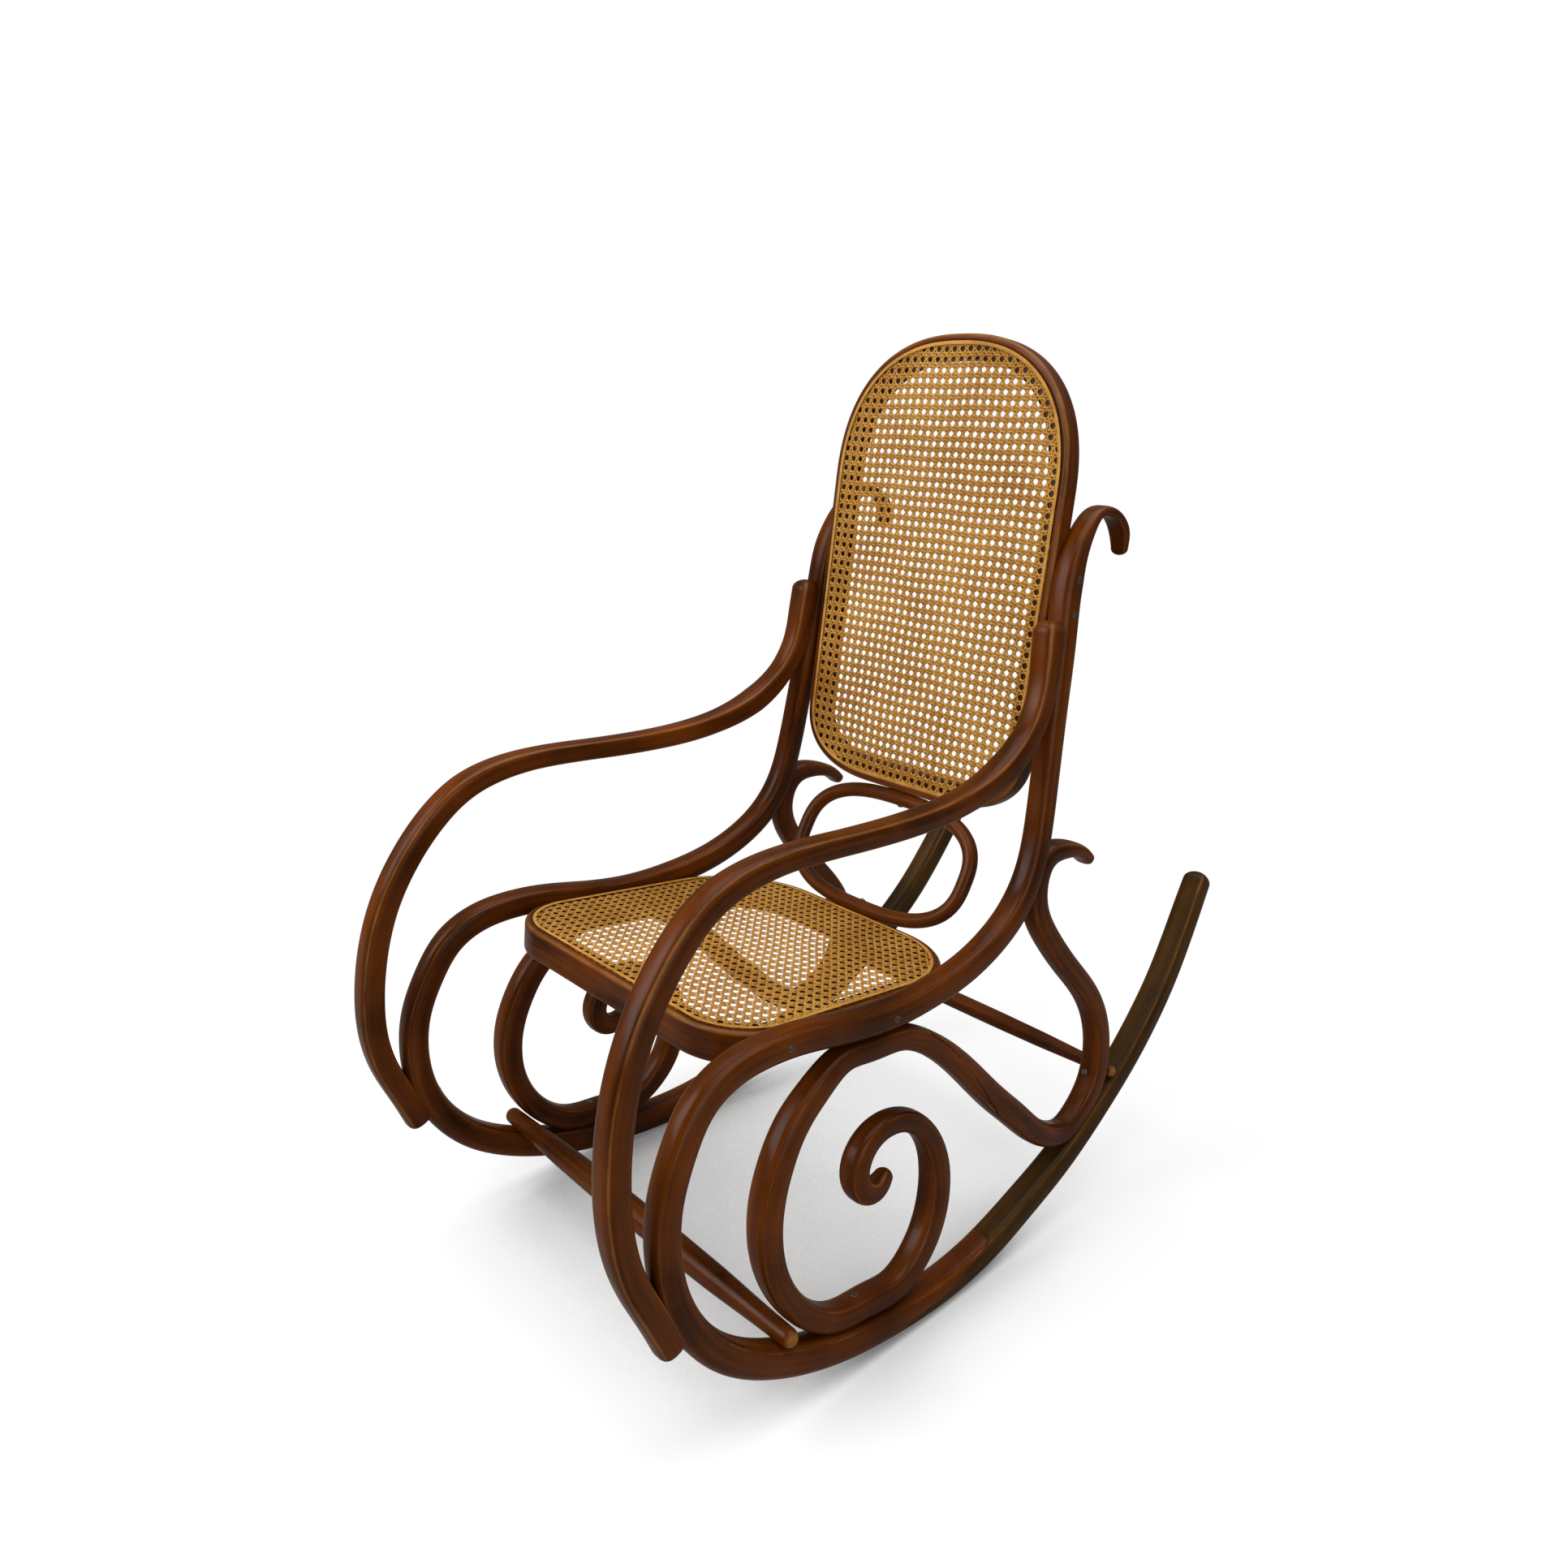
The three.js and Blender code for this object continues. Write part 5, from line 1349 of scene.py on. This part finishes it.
def cane_material(name, face, deep):
    """Cane: golden strands whose tone differs from one to the next, with fine fibres along them."""
    material, tree = new_material(name)
    run = put(tree, "ShaderNodeUVMap", uv_map="run").outputs["UV"]
    place = put(tree, "ShaderNodeTexCoord").outputs["Object"]
    tone = noise(tree, stretched(tree, run, CANE_SCALE), scale=1.0, detail=3.0)
    cloud = noise(tree, place, scale=11.0, detail=4.0)
    fibres = noise(tree, place, scale=900.0, detail=2.0)
    share = spread(tree, combined(tree, "ADD", tone, cloud), *CANE_RANGE)
    sockets = {
        "Base Color": blended(tree, share, rgba(deep), rgba(face)),
        "Roughness": spread(tree, tone, *NOISE_RANGE, *CANE_ROUGHNESS),
        "Normal": bumped(tree, fibres, strength=0.2, distance=0.0002),
        "Specular IOR Level": CANE_SPECULAR,
    }
    close_material(tree, sockets)
    return material


def screw_metal(name, colour):
    """Dull old steel, tarnished in patches."""
    material, tree = new_material(name)
    patch = noise(tree, put(tree, "ShaderNodeTexCoord").outputs["Object"], scale=400.0, detail=4.0)
    dark = [TARNISH_SHARE * value for value in colour]
    base = blended(tree, patch, rgba(dark), rgba(colour))
    rough = spread(tree, patch, *NOISE_RANGE, *STEEL_ROUGHNESS)
    close_material(tree, {"Base Color": base, "Roughness": rough, "Metallic": 1.0})
    return material


def finish_named(context, name):
    """A finish by its name, made on first use from the colours."""
    if name in bpy.data.materials:
        return bpy.data.materials[name]
    if "Stained grain" not in bpy.data.node_groups:
        stained_grain_group()
        worn_edge_group()
    colours = context.scene.rocker_colours
    if name in WOODS:
        stain, deep, finish = WOODS[name]
        return stained_wood(
            name, getattr(colours, stain), getattr(colours, deep), colours.stain_worn, finish
        )
    if name == "Golden cane":
        return cane_material(name, colours.cane, colours.cane_deep)
    return screw_metal(name, colours.steel)


def chair_lines(context):
    """The chair's lines for the scene's sizes."""
    return ChairLines(context.scene.rocker_sizes)


def scarf_span(line, shares, reach):
    """First and last length of a scarf."""
    return tuple(line.nearest(*scaled(place, reach)) for place in shares)


class ROCKER_OT_side_frames(bpy.types.Operator):
    """Builds the two side frames and their runners, scarfed together under the front"""

    bl_idname = "rocker.side_frames"
    bl_label = "Side frames and runners"

    def execute(self, context):
        chair = chair_lines(context)
        line = chair.side
        first, last = scarf_span(line, RUNNER_SCARF_SHARES, chair.sizes.side_reach)
        frame_part = {
            "start": 0.0,
            "end": last - CLEARANCE,
            "dome_start": HOOK_DOME_SHARE,
            "grime_and_shade": FRAME_GRIME_AND_SHADE,
            "scarf": (first, last, 1.0, 1.0),
            "strap": (0.0, FRAME_HOOK_STRAP),
        }
        write_rods(chair, "side_frame", line, frame_part, finish_named(context, "Stained rod"))
        runner_part = {
            "start": first + CLEARANCE,
            "end": line.length[-1],
            "dome_end": TAIL_DOME_SHARE,
            "grime_and_shade": FRAME_GRIME_AND_SHADE,
            "scarf": (first, last, 1.0, -1.0),
        }
        write_rods(chair, "runner", line, runner_part, finish_named(context, "Stained runner"))
        return {"FINISHED"}


class ROCKER_OT_scrolls(bpy.types.Operator):
    """Builds the scrolls and the rear braces, scarfed together along the diagonal"""

    bl_idname = "rocker.scrolls"
    bl_label = "Scrolls and rear braces"

    def execute(self, context):
        chair = chair_lines(context)
        line = chair.brace
        first, last = scarf_span(line, DIAGONAL_SCARF_SHARES, chair.sizes.side_reach)
        scroll_part = {
            "start": 0.0,
            "end": last - CLEARANCE,
            "dome_start": SCROLL_DOME_SHARE,
            "grime_and_shade": BRACE_GRIME_AND_SHADE,
            "scarf": (first, last, -1.0, 1.0),
        }
        write_rods(chair, "scroll", line, scroll_part, finish_named(context, "Stained rod"))
        brace_part = {
            "start": first + CLEARANCE,
            "end": line.length[-1],
            "dome_end": BRACE_HOOK_DOME_SHARE,
            "grime_and_shade": BRACE_GRIME_AND_SHADE,
            "scarf": (first, last, -1.0, -1.0),
            "strap": (line.length[-1], BRACE_HOOK_STRAP),
        }
        write_rods(chair, "rear_brace", line, brace_part, finish_named(context, "Stained rod"))
        return {"FINISHED"}


class ROCKER_OT_arms(bpy.types.Operator):
    """Builds the two arms, a little wider than they are thick"""

    bl_idname = "rocker.arms"
    bl_label = "Arms"

    def execute(self, context):
        chair = chair_lines(context)
        line = chair.arm
        dome_start, dome_end = ARM_DOME_SHARES
        options = {
            "start": 0.0,
            "end": line.length[-1],
            "dome_start": dome_start,
            "dome_end": dome_end,
            "width_share": ARM_WIDTH_SHARE,
            "squareness": ARM_SQUARENESS,
            "arris_wear": ARM_ARRIS_WEAR,
        }
        write_rods(chair, "arm", line, options, finish_named(context, "Stained rod"))
        return {"FINISHED"}


class ROCKER_OT_back(bpy.types.Operator):
    """Builds the back's rim, its binder and its woven cane"""

    bl_idname = "rocker.back"
    bl_label = "Caned back"

    def execute(self, context):
        chair = chair_lines(context)
        outline, outward = back_outline(chair.sizes)
        write_caned_panel(context, chair, "back", outline, outward, chair.sizes.back_rim_depth)
        return {"FINISHED"}


class ROCKER_OT_seat(bpy.types.Operator):
    """Builds the seat's rim, its binder and its woven cane"""

    bl_idname = "rocker.seat"
    bl_label = "Caned seat"

    def execute(self, context):
        chair = chair_lines(context)
        outline, outward = seat_outline(chair)
        write_caned_panel(context, chair, "seat", outline, outward, chair.sizes.seat_rim_height)
        return {"FINISHED"}


def write_caned_panel(context, chair, name, outline, outward, depth):
    """A rim, the strip over the cane's edge and the cane."""
    sizes = chair.sizes
    panel = panel_frame(sizes, name)
    profile = rim_profile(sizes, depth)
    # Painted shade: the rebate under the cane and the upper inner wall are darkened towards the deep stain
    painted_shade_under_cane = (profile[:, 0] > sizes.rim_face) & (profile[:, 1] > -depth / 2.0)
    attributes = {"wear": rim_wear(sizes, profile), "grime_and_shade": REBATE_PAINTED_SHADE * painted_shade_under_cane}
    wood = finish_named(context, "Stained rim")
    write_band(f"{name}_rim", outline, outward, profile, panel, attributes, wood, f"{name}_frame")
    cane = finish_named(context, "Golden cane")
    across, up = ring_section(turn_angles(BINDER_SIDES), BINDER_SQUARENESS)
    half_width, half_gauge = sizes.binder_width / 2.0, sizes.binder_gauge / 2.0
    inset = sizes.rim_face + CLEARANCE + half_width - across * half_width
    strip = np.stack([inset, CLEARANCE + half_gauge + up * half_gauge], -1)
    write_band(f"{name}_binder_strip", outline, outward, strip, panel, {}, cane, f"{name}_binder")
    write_weave(chair, name, outline, outward, cane, f"{name}_cane")


class ROCKER_OT_ring(bpy.types.Operator):
    """Builds the ring between the seat and the back"""

    bl_idname = "rocker.ring"
    bl_label = "Ring"

    def execute(self, context):
        write_ring(chair_lines(context), finish_named(context, "Stained rod"))
        return {"FINISHED"}


class ROCKER_OT_stretchers(bpy.types.Operator):
    """Builds the front and the rear stretcher"""

    bl_idname = "rocker.stretchers"
    bl_label = "Stretchers"

    def execute(self, context):
        chair = chair_lines(context)
        sizes = chair.sizes
        reach = sizes.side_reach
        wood = finish_named(context, "Stained rod")
        place = scaled(FRONT_STRETCHER_SHARE, reach)
        slim = sizes.front_stretcher_end
        y, z, _ = beside_line(chair.side, place, slim, 1)
        centre = chair.side.at(chair.side.nearest(*place))[0]
        half = centre[0] + sizes.side_rod / 2.0 + sizes.stretcher_proud - CLEARANCE
        write_stretcher(sizes, "front_stretcher", y, z, half, sizes.front_stretcher, slim, wood)
        place = scaled(REAR_STRETCHER_SHARE, reach)
        slim = sizes.rear_stretcher_end
        y, z = pocket_place(place, slim, (chair.brace, chair.side))
        centre = chair.side.at(chair.side.nearest(y, z))[0]
        half = centre[0] + sizes.side_rod / 2.0
        write_stretcher(sizes, "rear_stretcher", y, z, half, sizes.rear_stretcher, slim, wood)
        return {"FINISHED"}


class ROCKER_OT_screws(bpy.types.Operator):
    """Gives every screw of the chair its slotted head"""

    bl_idname = "rocker.screws"
    bl_label = "Screws"

    def execute(self, context):
        chair = chair_lines(context)
        steel = finish_named(context, "Screw steel")
        lines = {"side": chair.side, "brace": chair.brace}
        for name, line_name, place, hand in INWARD_SCREWS:
            write_screw_pair(chair, name, lines[line_name], place, hand, steel)
        for name, place in ACROSS_SCREWS:
            write_screw_pair(chair, name, chair.side, place, 0, steel)
        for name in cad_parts:
            if "screw" in name:
                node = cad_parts[name]
                node.data.materials.clear()
                node.data.materials.append(steel)
        return {"FINISHED"}


class ROCKER_OT_stage(bpy.types.Operator):
    """Sets the pale floor, the soft lights, the world and the camera"""

    bl_idname = "rocker.stage"
    bl_label = "Stage"

    def execute(self, context):
        scene = context.scene
        write_floor(scene)
        write_world(scene)
        write_lights(scene)
        write_camera(scene)
        scene.view_settings.view_transform = "Standard"
        return {"FINISHED"}


def write_floor(scene):
    """A wide pale floor. Near the middle the camera sees it take the chair's shadow from the lamps, and
    over it
    a painted shadow: a camera-only glow, dimmer where ambient occlusion finds the chair near. It sees it
    white further off. The chair gets only little light back from it."""
    half = FLOOR_HALF_WIDTH
    corners = [(-half, -half, 0.0), (half, -half, 0.0), (half, half, 0.0), (-half, half, 0.0)]
    mesh = bpy.data.meshes.new("pale_floor")
    mesh.from_pydata(corners, [], [(0, 1, 2, 3)])
    floor = bpy.data.objects.new("pale_floor", mesh)
    scene.collection.objects.link(floor)
    material, tree = new_material("Pale floor")
    colours = scene.rocker_colours
    camera_ray = put(tree, "ShaderNodeLightPath").outputs["Is Camera Ray"]
    place = put(tree, "ShaderNodeTexCoord").outputs["Object"]
    distance = put(tree, "ShaderNodeVectorMath", {0: place}, operation="LENGTH").outputs["Value"]
    far = spread(tree, distance, *SHADOW_FADE, interpolation="SMOOTHSTEP")
    seen_far = combined(tree, "MULTIPLY", far, camera_ray)
    colour = blended(tree, camera_ray, rgba(colours.floor_bounce), rgba(colours.floor))
    # Painted shadow: the camera-only glow is dimmer where ambient occlusion finds the chair close by
    open_sky = put(tree, "ShaderNodeAmbientOcclusion", {"Distance": SHADE_REACH}, samples=SHADE_SAMPLES)
    shade = spread(
        tree, open_sky.outputs["AO"], *SHADE_RANGE, *SHADE_LEVELS, interpolation="SMOOTHSTEP"
    )
    diffuse = put(tree, "ShaderNodeBsdfDiffuse", {"Color": colour})
    glow_with_painted_shadow = combined(tree, "MULTIPLY", camera_ray, shade)
    glow = put(tree, "ShaderNodeEmission", {"Strength": glow_with_painted_shadow})
    near = put(tree, "ShaderNodeAddShader", {0: diffuse.outputs[0], 1: glow.outputs[0]})
    white = put(tree, "ShaderNodeEmission", {"Strength": 1.0})
    both = put(tree, "ShaderNodeMixShader", {0: seen_far, 1: near.outputs[0], 2: white.outputs[0]})
    put(tree, "ShaderNodeOutputMaterial", {"Surface": both.outputs[0]})
    mesh.materials.append(material)


def write_world(scene):
    """A plain world: soft light on the chair, and white where the camera sees it."""
    world = bpy.data.worlds.new("Studio")
    world.use_nodes = True
    tree = world.node_tree
    tree.nodes.clear()
    path = put(tree, "ShaderNodeLightPath")
    rays = (path.outputs["Is Camera Ray"], path.outputs["Is Transmission Ray"])
    level = spread(tree, combined(tree, "MAXIMUM", *rays), 0.0, 1.0, WORLD_LEVEL, 1.0)
    sky = put(tree, "ShaderNodeBackground", {"Color": (1.0, 1.0, 1.0, 1.0), "Strength": level})
    put(tree, "ShaderNodeOutputWorld", {"Surface": sky.outputs[0]})
    scene.world = world


def write_light(scene, name, place, target, size, power):
    """An area lamp that looks at a point."""
    lamp = bpy.data.lights.new(name, "AREA")
    lamp.shape = "RECTANGLE"
    lamp.size = size
    lamp.size_y = size
    lamp.energy = power
    light = bpy.data.objects.new(name, lamp)
    light.location = place
    towards = unit(np.array(target) - np.array(place))
    light.rotation_euler = (math.acos(-towards[2]), 0.0, math.atan2(-towards[0], towards[1]))
    scene.collection.objects.link(light)


def write_lights(scene):
    """A key from the front left and above, a soft top light and a weak fill."""
    for name, place, size, power in LAMPS:
        write_light(scene, name, place, LAMP_TARGET, size, power)


def write_camera(scene):
    """The photograph's camera, fitted from the chair's mirror pairs and the cane's lattice."""
    focal_length_px = 1534.6
    frame_px = 1932.0
    azimuth = math.radians(47.93)
    pitch = math.radians(18.06)
    side_view_place = (1.0676, -0.8264, 1.0654)
    data = bpy.data.cameras.new("Camera")
    data.sensor_width = 36.0
    data.lens = data.sensor_width * focal_length_px / frame_px
    camera = bpy.data.objects.new("Camera", data)
    offset = chair_offset(scene.rocker_sizes)
    camera.location = (side_view_place[0], side_view_place[1] + offset, side_view_place[2])
    camera.rotation_euler = (math.pi / 2.0 - pitch, 0.0, azimuth)
    scene.collection.objects.link(camera)
    scene.camera = camera


class ROCKER_PT_panel(bpy.types.Panel):
    """Lists the sizes, the colours and the steps in the sidebar"""

    bl_idname = "ROCKER_PT_panel"
    bl_label = "Rocking chair"
    bl_space_type = "VIEW_3D"
    bl_region_type = "UI"
    bl_category = "Rocking chair"

    def draw(self, context):
        for group in (context.scene.rocker_sizes, context.scene.rocker_colours):
            box = self.layout.box()
            for key in group.__annotations__:
                box.prop(group, key)
        for operator in OPERATORS:
            self.layout.operator(operator.bl_idname)


OPERATORS = (
    ROCKER_OT_side_frames,
    ROCKER_OT_scrolls,
    ROCKER_OT_arms,
    ROCKER_OT_back,
    ROCKER_OT_seat,
    ROCKER_OT_ring,
    ROCKER_OT_stretchers,
    ROCKER_OT_screws,
    ROCKER_OT_stage,
)
CLASSES = (RockerSizes, RockerColours, *OPERATORS, ROCKER_PT_panel)


def register():
    """Registers the classes and hangs the two groups of settings on the scene."""
    for cls in CLASSES:
        bpy.utils.register_class(cls)
    bpy.types.Scene.rocker_sizes = bpy.props.PointerProperty(type=RockerSizes)
    bpy.types.Scene.rocker_colours = bpy.props.PointerProperty(type=RockerColours)


def unregister():
    """Takes them away again."""
    del bpy.types.Scene.rocker_colours
    del bpy.types.Scene.rocker_sizes
    for cls in reversed(CLASSES):
        bpy.utils.unregister_class(cls)


def main():
    register()
    for operator in OPERATORS:
        group, step = operator.bl_idname.split(".")
        getattr(getattr(bpy.ops, group), step)()


if __name__ == "__main__":
    main()
